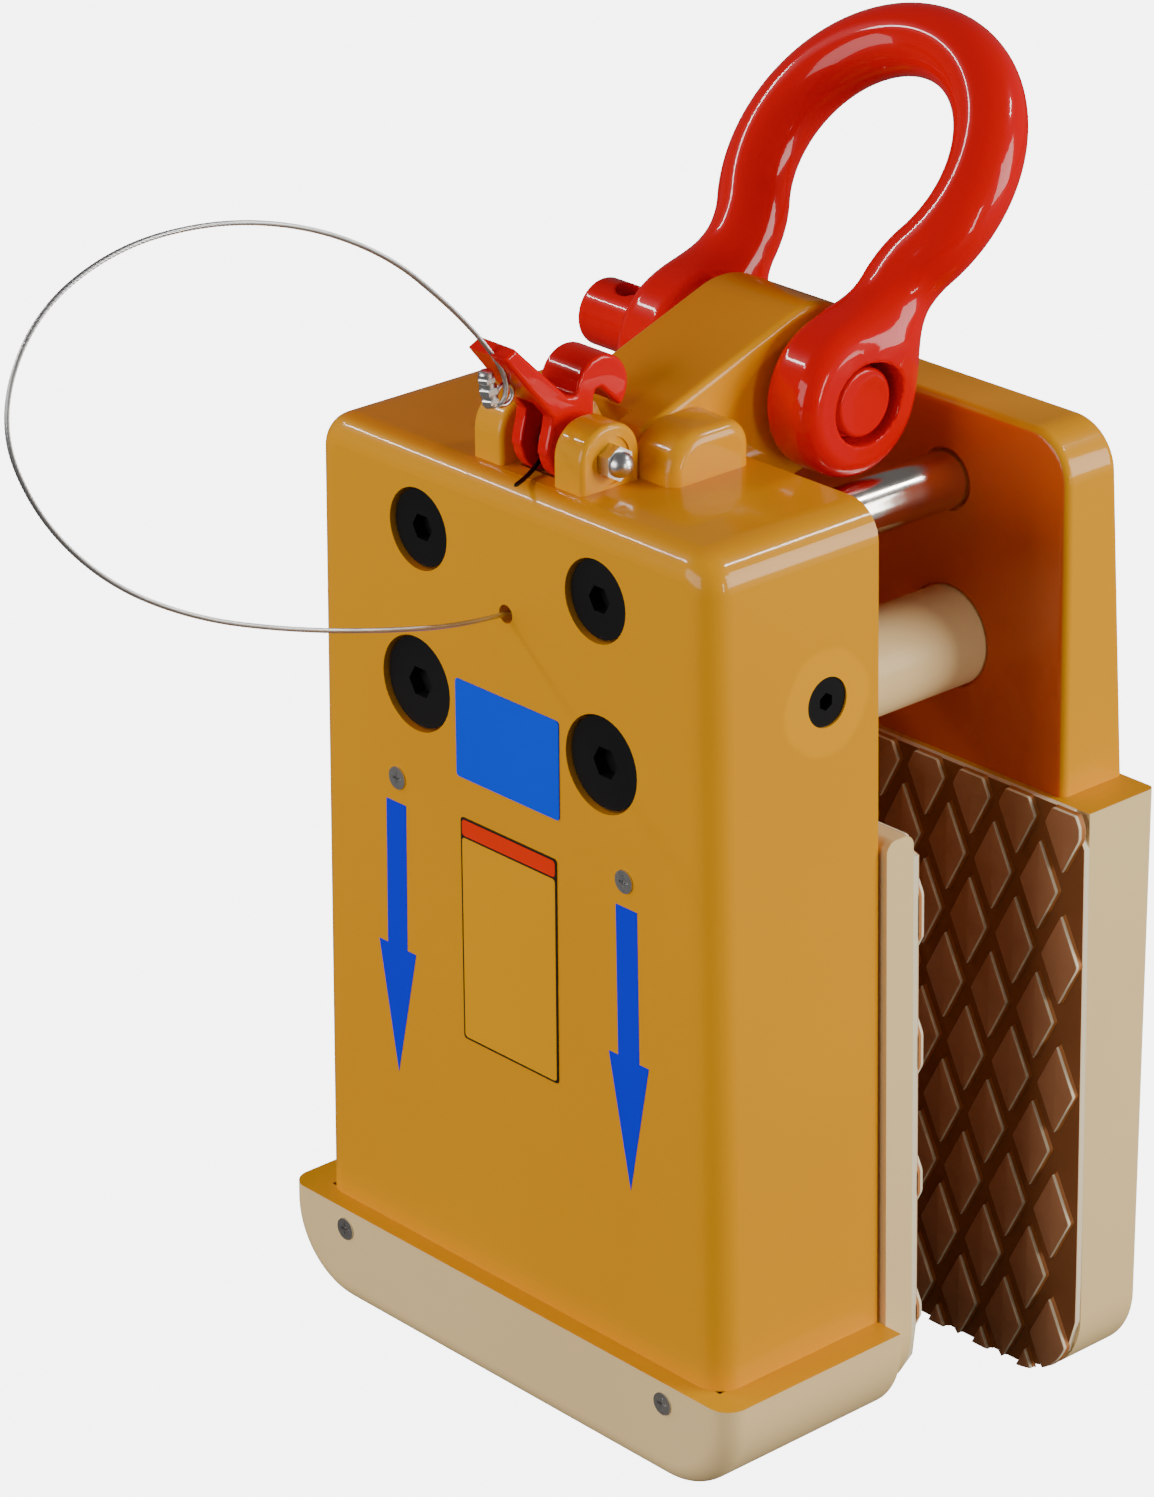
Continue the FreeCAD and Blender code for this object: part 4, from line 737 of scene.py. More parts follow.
def turned(profile: Sequence[tuple[float, float]], foot: np.ndarray, axis: np.ndarray,
           sides: int, flats: int = 0) -> Mesh:
    """Profile carried round an axis: foot + t * axis + r * (u cos a + v sin a).

    With flats, r grows as r / cos(a mod 2 pi / n - pi / n), so the section is a polygon.

    Args:
        profile: Pairs (t, r) from one end to the other, in the foot's unit.
        foot: Where t is nought.
        axis: Direction of t.
        sides: Points round the axis.
        flats: Number of flats, or 0 for a round section.

    Returns:
        Points and faces, closed at both ends.
    """
    axis = axis / np.linalg.norm(axis)
    side = np.cross(axis, np.array(OBLIQUE))
    side /= np.linalg.norm(side)
    lift = np.cross(axis, side)
    angle = around(sides)
    t, r = np.array(profile).T
    reach = np.broadcast_to(r[:, None], (len(r), sides)).copy()
    if flats:
        part = math.tau / flats
        reach = reach * math.cos(part / 2) / np.cos(angle % part - part / 2)
    ring = side * np.cos(angle)[:, None] + lift * np.sin(angle)[:, None]
    points = foot + t[:, None, None] * axis + reach[..., None] * ring
    faces = grid_faces(len(r), sides, True).tolist()
    faces.append(list(range(sides))[::-1])
    faces.append(list(range((len(r) - 1) * sides, len(r) * sides)))
    return points.reshape(-1, 3), faces


def merge(parts: Iterable[Mesh]) -> Mesh:
    """Put several meshes' points and faces into one."""
    points, faces, total = [], [], 0
    for spots, loops in parts:
        points.append(spots)
        faces += [[corner + total for corner in loop] for loop in loops]
        total += len(spots)
    return np.concatenate(points), faces


# Sub-assemblies


class Part:
    """Piece that takes one CAD node's place and moves with that node's body.

    A class gives its name, node, body, slot and smoothing angle in degrees, and its shape.
    """

    name: str
    node: str
    body: str
    slot: Slot
    smooth: float

    def shape(self) -> Mesh:
        """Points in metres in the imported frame, and faces that point outwards."""
        raise NotImplementedError

    def attach(self, piece: Piece) -> None:
        """Let the piece move with its body."""
        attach(piece, self.body)

    def build(self, finishes: Finishes) -> Piece:
        """Make the piece in place of the CAD node.

        Args:
            finishes: Materials by name.

        Returns:
            The finished piece.
        """
        points, faces = self.shape()
        piece = mesh_piece(self.name, points, faces, self.smooth)
        piece.data.materials.append(finishes[self.slot.value])
        self.attach(piece)
        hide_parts(self.node)
        return piece


class Forging(Part):
    """Red piece whose surface is where a distance function is nought."""

    slot = Slot.RED
    low: Point
    high: Point
    cell: float

    def distance(self, points: np.ndarray) -> np.ndarray:
        """Signed distances, negative inside, of points in millimetres."""
        raise NotImplementedError

    def settle(self, x: np.ndarray, y: np.ndarray, z: np.ndarray) -> np.ndarray:
        """Points in metres from where the distance function has them."""
        return place(x, y, z)

    def shape(self) -> Mesh:
        """Draw the surface between low and high in cells of the given size."""
        points, quads = shell_of(self.distance, self.low, self.high, self.cell)
        return self.settle(*points.T), quads.tolist()


@dataclass
class FrontPlates:
    """Bare blue plate, bare notice plate and two painted arrows on the casing's front.

    The places are in the casing's frame, in millimetres, and each face stands proud by lift.
    """

    lift: float = 0.35
    sink: float = 0.25
    blue_half: float = 23.8
    blue_top: float = -28.0
    blue_low: float = -61.0
    notice_half: float = 22.3
    notice_top: float = -74.5
    notice_low: float = -151.5
    band_tall: float = 6.2
    border: float = 0.7
    corner: float = 1.2
    arrow_side: float = 53.6
    arrow_top: float = -80.0
    arrow_neck: float = -131.0
    arrow_tip: float = -176.0
    arrow_wide: float = 9.5
    arrow_head_wide: float = 18.0
    arrow_spread: float = 1.6
    arrow_lift: float = 0.12
    print_lift: float = 0.06
    turns: int = 6

    def outline(self, half: float, top: float, low: float) -> np.ndarray:
        """Corners of an upright rectangle with rounded corners, running round anticlockwise.

        A corner's points are centre + corner * (cos a, sin a), with a over a quarter turn.

        Args:
            half: Half its width.
            top: Height of its upper edge.
            low: Height of its lower edge.

        Returns:
            Points (x, z) in millimetres.
        """
        r = self.corner
        centres = np.array([(half - r, top - r), (-half + r, top - r), (-half + r, low + r),
                            (half - r, low + r)])
        turn = np.linspace(0.0, math.pi / 2, self.turns)
        angle = turn[None, :] + np.arange(4)[:, None] * math.pi / 2
        ring = np.stack([np.cos(angle), np.sin(angle)], -1) * r
        return (centres[:, None] + ring).reshape(-1, 2)

    def arrow(self, side: int) -> np.ndarray:
        """Corners of a down arrow that leans outwards a little as the casing widens.

        Args:
            side: -1 or 1.

        Returns:
            Points (x, z) in millimetres, anticlockwise.
        """
        half, head = self.arrow_wide / 2, self.arrow_head_wide / 2
        flat = np.array([(half, self.arrow_top), (-half, self.arrow_top),
                         (-half, self.arrow_neck), (-head, self.arrow_neck),
                         (0.0, self.arrow_tip), (head, self.arrow_neck),
                         (half, self.arrow_neck)])
        share = (self.arrow_top - flat[:, 1]) / (self.arrow_top - self.arrow_tip)
        flat[:, 0] += side * (self.arrow_side + self.arrow_spread * share)
        return flat

    def slab(self, name: str, outline: np.ndarray, lift: float) -> Piece:
        """Thin sheet with the given outline: a face at -lift and a rim back into the casing.

        Args:
            name: The piece's name.
            outline: Points (x, z) in millimetres, anticlockwise seen from the front.
            lift: How far the face stands proud of the casing, in millimetres.

        Returns:
            The sheet, riding on the frame.
        """
        count = len(outline)
        layers = np.array([-lift, self.sink])
        points = np.empty((2, count, 3))
        points[..., 0] = outline[:, 0]
        points[..., 1] = layers[:, None]
        points[..., 2] = outline[:, 1]
        rim = grid_faces(2, count, True)[:, ::-1]
        faces = [list(range(count)), *rim.tolist(), list(range(count, 2 * count))[::-1]]
        piece = mesh_piece(name, place(*np.moveaxis(points.reshape(-1, 3), 1, 0)), faces, None)
        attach(piece, "frame")
        return piece

    def build(self, finishes: Finishes) -> list[Piece]:
        """Make all the sheets.

        Args:
            finishes: Materials by name.

        Returns:
            The finished pieces.
        """
        top = self.notice_top - self.band_tall
        inner = self.notice_half - self.border
        spots = [
            ("plate_blue", self.outline(self.blue_half, self.blue_top, self.blue_low),
             self.lift, "plate_blue"),
            ("notice_back", self.outline(self.notice_half, self.notice_top, self.notice_low),
             self.lift, "notice_ink"),
            ("notice_band", self.outline(inner, self.notice_top - self.border, top),
             self.lift + self.print_lift, "notice_band"),
            ("notice_face", self.outline(inner, top - self.border,
                                         self.notice_low + self.border),
             self.lift + self.print_lift, "notice_face"),
            ("arrow_left", self.arrow(-1), self.arrow_lift, "arrow_paint"),
            ("arrow_right", self.arrow(1), self.arrow_lift, "arrow_paint"),
        ]
        made = []
        for name, outline, lift, finish in spots:
            piece = self.slab(name, outline, lift)
            piece.data.materials.append(finishes[finish])
            made.append(piece)
        return made


@dataclass
class GripPad(Part):
    """Moulded pad: a slab with a raised lattice of diamonds that its outline cuts off.

    Lengths are in millimetres in the casing's frame, and the pad faces the other pad.
    """

    name: str
    node: str
    body: str
    face: float
    base: float
    back: float
    top: float
    bottom: float
    half: float
    round_by: float
    first: float
    spread: float = 0.019
    pitch: float = 10.07
    step: float = 45.9
    wide: float = 7.9
    tall: float = 15.5
    bevel: float = 0.45
    edge_shares: tuple[float, float] = (0.35, 0.3)
    root: tuple[float, float] = (-0.35, 0.2)
    slab_inset: float = 0.3
    slab_power: float = 300.0
    power: float = 40.0
    least: float = 0.05
    sliver: float = 3.0
    pole_shift: float = 9.0
    pole_margin: float = 1.5
    pole_depth: float = 1.0
    spokes: int = 72
    columns: int = 10
    rows: int = 8
    corner_lines: int = 9
    slot = Slot.PAD
    smooth = 40.0

    def planes(self) -> tuple[np.ndarray, np.ndarray]:
        """Lines n . p = d that bound the outline, the corners as fans of tangents.

        Returns:
            Unit normals (x, z) and their distances.
        """
        lean = math.atan(self.spread)
        normals, offsets = [(0.0, 1.0)], [self.top]
        for side in (1.0, -1.0):
            normals.append((side * math.cos(lean), math.sin(lean)))
            offsets.append(self.half * math.cos(lean))
            corner = np.array([side * (self.half - self.spread * self.bottom - self.round_by
                                       * (1 + self.spread)), self.bottom + self.round_by])
            for turn in np.linspace(0.0, math.pi / 2, self.corner_lines):
                normal = np.array([side * math.cos(turn), -math.sin(turn)])
                normals.append(tuple(normal))
                offsets.append(float(normal @ corner) + self.round_by)
        return np.array(normals), np.array(offsets)

    def reach(self, poles: np.ndarray, normals: np.ndarray, offsets: np.ndarray,
              inset: float, sharp: float) -> np.ndarray:
        """Distance from each pole to its outline along each spoke u.

        With the lines n . p = d, it is 1 / (sum of max(n . u, 0)^k / d^k)^(1/k), so corners
        come out softly rounded.

        Args:
            poles: One point (x, z) inside each outline.
            normals: Lines' normals, one row per outline or shared.
            offsets: The lines' distances, measured from the origin.
            inset: How far inside the lines the outline runs.
            sharp: The power k.

        Returns:
            One distance for each pole and spoke.
        """
        angle = around(self.spokes)
        spoke = np.stack([np.cos(angle), np.sin(angle)], -1)
        gap = offsets - np.einsum("...k,...lk->...l", poles, normals) - inset
        toward = np.maximum(np.einsum("sk,...lk->...ls", spoke, normals), 0.0)
        pull = toward / np.maximum(gap, self.least)[..., None]
        peak = pull.max(-2)
        total = ((pull / peak[..., None, :]) ** sharp).sum(-2)
        return 1.0 / (peak * total ** (1.0 / sharp))

    def ring(self, poles: np.ndarray, reach: np.ndarray, y: float) -> np.ndarray:
        """Points on the spokes at the given reach and depth."""
        angle = around(self.spokes)
        x = poles[:, :1] + reach * np.cos(angle)
        z = poles[:, 1:] + reach * np.sin(angle)
        return np.stack([x, np.full_like(x, y), z], -1)

    def stack(self, rings: Sequence[np.ndarray], poles: np.ndarray, y: float) -> Mesh:
        """Join rings of each outline into walls and close them with a fan at the pole.

        Args:
            rings: Rings from the outermost to the innermost.
            poles: Fan centres (x, z).
            y: The fan centres' depth.

        Returns:
            Points and faces.
        """
        tips = np.stack([poles[:, 0], np.full(len(poles), y), poles[:, 1]], -1)[:, None]
        points = np.concatenate([*rings, tips], axis=1)
        last, turn = (len(rings) - 1) * self.spokes, np.arange(self.spokes)
        centre = np.full(self.spokes, len(rings) * self.spokes)
        fan = np.stack([last + turn, last + (turn + 1) % self.spokes, centre, centre], -1)
        faces = np.concatenate([grid_faces(len(rings), self.spokes, True), fan])
        if self.face > self.back:
            faces = faces[:, ::-1]
        shift = np.arange(len(poles))[:, None, None] * points.shape[1]
        loops = (faces[None] + shift).reshape(-1, 4).tolist()
        return points.reshape(-1, 3), [list(dict.fromkeys(loop)) for loop in loops]

    def lattice(self, normals: np.ndarray, offsets: np.ndarray) -> tuple[np.ndarray, np.ndarray]:
        """Diamonds' centres, and a pole for each that lies inside the pad's outline too.

        Args:
            normals: The outline's normals.
            offsets: The outline's distances.

        Returns:
            Centres and poles (x, z).
        """
        column, row = np.meshgrid(np.arange(-self.columns, self.columns + 1),
                                  np.arange(-self.rows, self.rows + 1), indexing="ij")
        shift = np.where(column % 2 == 0, 0.5, 0.0)
        centre = np.stack([column * self.pitch, self.first - (row + shift) * self.step],
                          -1).reshape(-1, 2)
        up = centre[:, 1]
        centre = centre[(up - self.tall < self.top - self.sliver)
                        & (up + self.tall > self.bottom + self.sliver)]
        up = centre[:, 1]
        middle = (np.maximum(self.bottom, up - self.tall) * 0.5
                  + np.minimum(self.top, up + self.tall) * 0.5)
        pole = centre.copy()
        pole[:, 1] = np.clip(np.clip(up, middle - self.pole_shift, middle + self.pole_shift),
                             self.bottom + self.pole_margin, self.top - self.pole_margin)
        inside = (offsets[None] - pole @ normals.T).min(1) > self.pole_depth
        return centre[inside], pole[inside]

    def shape(self) -> Mesh:
        """Slab and diamonds: each diamond's four lines join the outline's, so it is cut flush."""
        normals, offsets = self.planes()
        middle = np.array([[0.0, (self.top + self.bottom) / 2]])
        toward = 1.0 if self.face > self.back else -1.0
        slab = [self.ring(middle, self.reach(middle, normals, offsets, inset, self.slab_power), y)
                for inset, y in ((0.0, self.back), (0.0, self.base),
                                 (self.slab_inset, self.base))]
        centre, pole = self.lattice(normals, offsets)
        size = math.hypot(self.wide, self.tall)
        slant = np.array([[a * self.tall, b * self.wide] for a in (1, -1)
                          for b in (1, -1)]) / size
        lines = np.concatenate([np.broadcast_to(slant, (len(pole), 4, 2)),
                                np.broadcast_to(normals, (len(pole), *normals.shape))], 1)
        gaps = np.concatenate([self.wide * self.tall / size + centre @ slant.T,
                               np.broadcast_to(offsets, (len(pole), len(offsets)))], 1)
        soft = toward * self.bevel
        inner, rise = self.edge_shares
        rings = [self.ring(pole, self.reach(pole, lines, gaps, inset, self.power), y)
                 for inset, y in ((self.root[0], self.base - toward * self.root[1]),
                                  (0.0, self.base + soft), (0.0, self.face - soft),
                                  (self.bevel * inner, self.face - soft * rise),
                                  (self.bevel, self.face))]
        points, faces = merge((self.stack(slab, middle, self.base),
                               self.stack(rings, pole, self.face)))
        faces.append(list(range(self.spokes))[::-1 if toward < 0 else 1])
        return place(*points.T), faces


@dataclass
class Shackle(Forging):
    """Forged bow: a round bar whose legs swell smoothly into two eyes.

    The bow is worked out upright about its pin (x across, z up), then leaned back.
    """

    rod: float = 11.6
    bow: float = 44.0
    rise: float = 71.7
    neck: float = 31.0
    leg_foot: float = 4.0
    eye_middle: float = 34.1
    eye_radius: float = 25.0
    eye_inner: float = 22.0
    eye_outer: float = 45.0
    eye_edge: float = 7.0
    eye_round: float = 6.0
    flank_top: float = 0.75
    flank_slope: float = 2.0
    bore: float = 13.5
    bore_edge: float = 0.9
    melt: float = 13.0
    lean: float = 39.1
    name, node, body, smooth = "shackle_forging", "shackle_bow", "shackle", 45.0
    low, high, cell = (-57.6, -27.0, -27.0), (57.6, 27.0, 129.3), 0.9

    def distance(self, points: np.ndarray) -> np.ndarray:
        """Distance to the forging.

        The bar is hypot(d, y) - rod with d the distance in the bow's plane to a leg, a neck arc
        and the crown arc; it melts into the eyes, whose inner sides are flat, and the bore is
        cut last.
        """
        side, back, up = np.abs(points[:, 0]), points[:, 1], points[:, 2]
        reach = self.bow + self.neck
        neck_x = self.eye_middle + self.neck
        neck_z = self.rise - math.sqrt(reach ** 2 - neck_x ** 2)
        low = math.atan2(neck_z - self.rise, neck_x)
        crown = arc_distance(side, up, (0.0, self.rise), self.bow, low, math.pi / 2)
        bend = arc_distance(side, up, (neck_x, neck_z), self.neck, low + math.pi, math.pi)
        leg = np.hypot(side - self.eye_middle, up - np.clip(up, self.leg_foot, neck_z))
        bar = np.hypot(np.minimum(np.minimum(crown, bend), leg), back) - self.rod
        half = (self.eye_outer - self.eye_inner) / 2
        eye = disc_distance(np.stack([side, back, up], -1), (self.eye_inner + half, 0.0, 0.0),
                            self.eye_radius, half, self.eye_edge)
        solid = blend_min(bar, eye, self.melt)
        above = np.maximum(up - self.eye_radius * self.flank_top, 0.0)
        solid = blend_max(solid, self.eye_inner - side - self.flank_slope * above, self.eye_round)
        return blend_max(solid, self.bore - np.hypot(back, up), self.bore_edge)

    def settle(self, x: np.ndarray, y: np.ndarray, z: np.ndarray) -> np.ndarray:
        """Lean the bow back about the pin's axis."""
        turn = math.radians(-self.lean)
        return place(x, y * math.cos(turn) - z * math.sin(turn) + PIN_AXIS[0],
                     y * math.sin(turn) + z * math.cos(turn) + PIN_AXIS[1])


@dataclass
class ShacklePin(Forging):
    """Pin through the eyes, stepped down at both ends, with a hole across its long end."""

    start: float = -75.0
    end: float = 44.2
    profile: tuple[tuple[float, float], ...] = (
        (-75.0, 11.2), (-49.0, 11.2), (-47.0, 12.6), (37.0, 12.6), (38.2, 11.1), (44.2, 11.1))
    rim: float = 1.5
    hole: tuple[float, float] = (-61.0, 5.0)
    hole_rim: float = 0.8
    name, node, body, smooth = "shackle_pin_turned", "shackle_pin", "shackle", 38.0
    low, high, cell = (-76.5, -14.5, -14.5), (45.7, 14.5, 14.5), 0.6

    def distance(self, points: np.ndarray) -> np.ndarray:
        """Distance to the pin: hypot(y, z) - R(x), cut to length and by the hole."""
        x, y, z = points.T
        long = np.hypot(y, z) - np.interp(x, *np.array(self.profile).T)
        ends = np.abs(x - (self.start + self.end) / 2) - (self.end - self.start) / 2
        solid = blend_max(long, ends, self.rim)
        return blend_max(solid, self.hole[1] - np.hypot(x - self.hole[0], y), self.hole_rim)

    def settle(self, x: np.ndarray, y: np.ndarray, z: np.ndarray) -> np.ndarray:
        """Move the pin to its axis."""
        return place(x, y + PIN_AXIS[0], z + PIN_AXIS[1])


@dataclass
class LatchHook(Forging):
    """Painted hook: two cheeks on the bolt, a lever forward and a round nose over the horn.

    The outlines are in the hook's plane, (y, z) in the casing's frame, in millimetres.
    """

    half: float = 8.5
    disc: float = 10.4
    nose: tuple[float, float] = (32.6, 66.8)
    nose_radius: float = 10.5
    nose_melt: float = 1.5
    disc_melt: float = 2.0
    notch_round: float = 1.0
    bore: float = 3.2
    slit_half: float = 3.6
    slit_top: float = 66.5
    slit_back: float = 25.0
    slit_low: float = 60.5
    edge: float = 0.7
    body_outline: tuple[tuple[float, float], ...] = (
        (10.6, 51.0), (12.4, 62.0), (-6.6, 85.2), (-1.9, 87.4), (18.6, 67.6), (21.6, 67.0),
        (29.3, 66.4), (29.0, 51.0))
    notch: tuple[tuple[float, float], ...] = (
        (29.0, 46.0), (29.2, 64.6), (30.2, 66.9), (31.9, 67.1), (39.6, 59.8), (50.0, 49.0),
        (50.0, 46.0))
    name, node, body, smooth = "latch_hook_painted", "latch_hook", "latch_hook", 38.0
    low, high, cell = (-9.5, -8.6, 38.6), (9.5, 45.0, 89.2), 0.42

    def polygon(self, y: np.ndarray, z: np.ndarray,
                corners: Sequence[tuple[float, float]]) -> np.ndarray:
        """Signed distance to a polygon: the nearest edge's, negative by the crossing rule.

        Args:
            y: First coordinates.
            z: Second coordinates.
            corners: The polygon's corners in order.

        Returns:
            Signed distances.
        """
        first = np.array(corners)
        spot = np.stack([y, z], -1)
        nearest = np.full(y.shape, np.inf)
        inside = np.zeros(y.shape, dtype=bool)
        for a, b in zip(first, np.roll(first, -1, axis=0)):
            run = b - a
            share = np.clip(((spot - a) @ run) / (run @ run), 0.0, 1.0)
            nearest = np.minimum(nearest, np.linalg.norm(spot - a - share[:, None] * run, axis=1))
            slope = (b[0] - a[0]) / (b[1] - a[1]) if b[1] != a[1] else 0.0
            inside ^= ((a[1] > z) != (b[1] > z)) & (y < slope * (z - a[1]) + a[0])
        return np.where(inside, -nearest, nearest)

    def distance(self, points: np.ndarray) -> np.ndarray:
        """Distance to the hook.

        The outline is lever, disc and nose melted together less the notch; it is carried over
        the width with rounded rims, and the slit and the bolt's bore are cut out.
        """
        x, y, z = np.abs(points[:, 0]), points[:, 1], points[:, 2]
        away = np.hypot(y - LATCH_AXIS[0], z - LATCH_AXIS[1])
        nose = np.hypot(y - self.nose[0], z - self.nose[1]) - self.nose_radius
        flat = blend_min(self.polygon(y, z, self.body_outline), nose, self.nose_melt)
        flat = blend_min(flat, away - self.disc, self.disc_melt)
        flat = blend_max(flat, -self.polygon(y, z, self.notch), self.notch_round)
        flat = np.maximum(flat, self.bore - away)
        solid = blend_max(flat, x - self.half, self.edge * 2)
        slit = np.minimum(np.maximum(z - self.slit_top, y - self.slit_back), z - self.slit_low)
        return blend_max(solid, -np.maximum(x - self.slit_half, slit), self.edge)


@dataclass
class CableClip(Part):
    """Screwed clamp on the cable's end: three flats-sided rings on a barrel, and its eye.

    A ring is (start along the barrel, radius, width); its edge is drawn in the shares below.
    """

    foot: Point = (-0.8, -3.9, 67.8)
    axis: Point = (0.0, -0.19, 0.98)
    barrel: tuple[tuple[float, float], ...] = (
        (0.0, 1.6), (0.0, 2.0), (0.4, 2.25), (11.2, 2.25), (11.8, 1.9), (12.2, 1.1))
    rings: tuple[Point, ...] = ((0.9, 2.9, 2.2), (4.1, 3.1, 2.6), (8.0, 2.9, 2.2))
    edge: tuple[tuple[float, float], ...] = ((0.0, 0.9), (0.15, 0.25), (0.5, 0.0))
    eye: Point = (-0.8, 1.2, 70.2)
    eye_radius: float = 3.3
    eye_steps: int = 48
    wire: float = 0.75
    wire_sides: int = 16
    barrel_sides: int = 40
    ring_sides: int = 48
    flats: int = 6
    name, node, body = "cable_clamp", "cable_clip", "latch_hook"
    slot, smooth = Slot.SCREW, 28.0

    def shape(self) -> Mesh:
        """Turn the barrel and the rings, and bend the eye round a circle."""
        foot, axis = np.array(self.foot), np.array(self.axis)
        parts = [turned(self.barrel, foot, axis, self.barrel_sides)]
        for start, radius, width in self.rings:
            band = ([(start + along, radius - inward) for along, inward in self.edge]
                    + [(start + width - along, radius - inward)
                       for along, inward in self.edge[::-1]])
            parts.append(turned(band, foot, axis, self.ring_sides, self.flats))
        turn = np.linspace(0.0, math.tau, self.eye_steps + 1)[:-1]
        ring = np.array(self.eye) + self.eye_radius * np.stack(
            [0.0 * turn, np.cos(turn), np.sin(turn)], -1)
        parts.append(tube(np.concatenate([ring, ring[:2]]), self.wire,
                          self.wire_sides, np.array([1.0, 0.0, 0.0]), capped=False))
        points, faces = merge(parts)
        return place(*points.T), faces


@dataclass
class LatchSpring(Part):
    """Black torsion spring between the cheeks, with a long leg out over the casing's edge."""

    radius: float = 5.1
    wire: float = 0.72
    pitch: float = 1.65
    turns: float = 3.25
    start: float = -2.0
    steps: int = 48
    tip: Point = (6.4, -1.4, 43.7)
    tip_sizes: tuple[float, float] = (0.35, 0.9)
    leg_steps: int = 24
    leg_sag: float = 1.1
    short_leg: tuple[float, float, int] = (0.4, 8.0, 12)
    across: Point = (0.97, 0.17, 0.17)
    sides: int = 14
    name, node, body = "latch_spring_wire", "latch_spring", "frame"
    slot, smooth = Slot.SPRING, 60.0

    def shape(self) -> Mesh:
        """Wind the wire, (p a / tau, R cos a, R sin a), between a long and a short leg."""
        angle = np.linspace(self.start, self.start + math.tau * self.turns,
                            int(self.steps * self.turns))
        coil = np.stack([self.pitch * (angle - angle.mean()) / math.tau,
                         LATCH_AXIS[0] + self.radius * np.cos(angle),
                         LATCH_AXIS[1] + self.radius * np.sin(angle)], -1)
        share = np.linspace(0.0, 1.0, self.leg_steps)[:-1, None]
        leg = np.array(self.tip) + share * (coil[0] - np.array(self.tip))
        leg[:, 2] -= self.leg_sag * np.sin(share[:, 0] * math.pi)
        run = (coil[-1] - coil[-2]) / np.linalg.norm(coil[-1] - coil[-2])
        path = np.concatenate([leg, coil, coil[-1] + run * np.linspace(*self.short_leg)[:, None]])
        size = np.full(len(path), self.wire)
        size[:2] = np.array(self.tip_sizes) * self.wire
        points, faces = tube(path, size, self.sides, np.array(self.across))
        return place(*points.T), faces


@dataclass
class ReleaseCable(Part):
    """Twisted wire cable from the casing's hole, in one loop, to the latch hook's clip.

    The route is in the casing's frame, in millimetres: it follows the CAD tube, and its end runs
    through the clip's eye. It has no body of its own.
    """

    route: tuple[Point, ...] = (
        (0, 4, 0), (0, -14, 0.5), (0, -48, 8), (0, -84, 18.5), (0, -119, 32), (0, -150, 51.5),
        (0, -173, 78), (0, -184, 108), (0, -171, 136), (0, -142, 149), (0, -107, 149),
        (0, -73, 140), (0, -43, 124), (0, -21.5, 104.5), (0.8, -9.8, 91.5), (2.4, -3.8, 82.5),
        (3, -1.0, 75.5), (2.2, -1.2, 69.5), (0.4, -4.2, 67.2), (-0.8, -5.6, 70.5))
    radius: float = 0.8
    strand: float = 0.36
    strands: int = 6
    pitch: float = 9.0
    steps: int = 14
    order: int = 3
    resolution: int = 24
    length: float = 0.4675
    sides: int = 8
    across: Point = (1.0, 0.03, 0.02)
    name, node, slot, smooth = "cable_wire", "release_cable", Slot.WIRE, 60.0

    def core_line(self) -> np.ndarray:
        """Points read from the route's NURBS spline, evenly spaced.

        Returns:
            Points in metres.
        """
        line = bpy.data.curves.new("cable_line", "CURVE")
        line.dimensions = "3D"
        line.resolution_u = self.resolution
        spline = line.splines.new("NURBS")
        spline.points.add(len(self.route) - 1)
        spots = place(*np.array(self.route).T)
        spline.points.foreach_set("co", np.c_[spots, np.ones(len(spots))].ravel())
        spline.order_u = self.order
        spline.use_endpoint_u = True
        holder = bpy.data.objects.new("cable_line", line)
        mesh = bpy.data.meshes.new_from_object(holder)
        points = np.empty(len(mesh.vertices) * 3)
        mesh.vertices.foreach_get("co", points)
        points = points.reshape(-1, 3)
        bpy.data.meshes.remove(mesh)
        bpy.data.objects.remove(holder)
        bpy.data.curves.remove(line)
        run = np.r_[0.0, np.cumsum(np.linalg.norm(np.diff(points, axis=0), axis=1))]
        even = np.linspace(0.0, run[-1], int(run[-1] / (self.pitch * MM) * self.steps))
        return np.stack([np.interp(even, run, points[:, k]) for k in range(3)], -1)

    def shape(self) -> Mesh:
        """Lay the strands round the core line: c + r * (n cos a + b sin a), a = tau * s / pitch."""
        core = self.core_line()
        run = np.gradient(core, axis=0)
        run /= np.linalg.norm(run, axis=1, keepdims=True)
        side = np.broadcast_to(np.array([1.0, 0.0, 0.0]), run.shape)
        lift = np.cross(run, side)
        lift /= np.linalg.norm(lift, axis=1, keepdims=True)
        along = np.r_[0.0, np.cumsum(np.linalg.norm(np.diff(core, axis=0), axis=1))]
        offset = (self.radius - self.strand) * MM
        strands = []
        for index in range(self.strands):
            angle = (math.tau * along / (self.pitch * MM) + math.tau * index
                     / self.strands)[:, None]
            line = core + offset * (side * np.cos(angle) + lift * np.sin(angle))
            strands.append(tube(line, self.strand * MM, self.sides, np.array(self.across)))
        return merge(strands)

    def attach(self, piece: Piece) -> None:
        """Bake the cable's placement into its mesh."""
        tuple(place(0, -85.5, 150))
        tuple(place(0, -62.7, 163.7))
        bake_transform(piece)

    def build(self, finishes: Finishes) -> Piece:
        piece = super().build(finishes)
        core = self.core_line()
        tuple(place(0, 0, 0))
        return piece


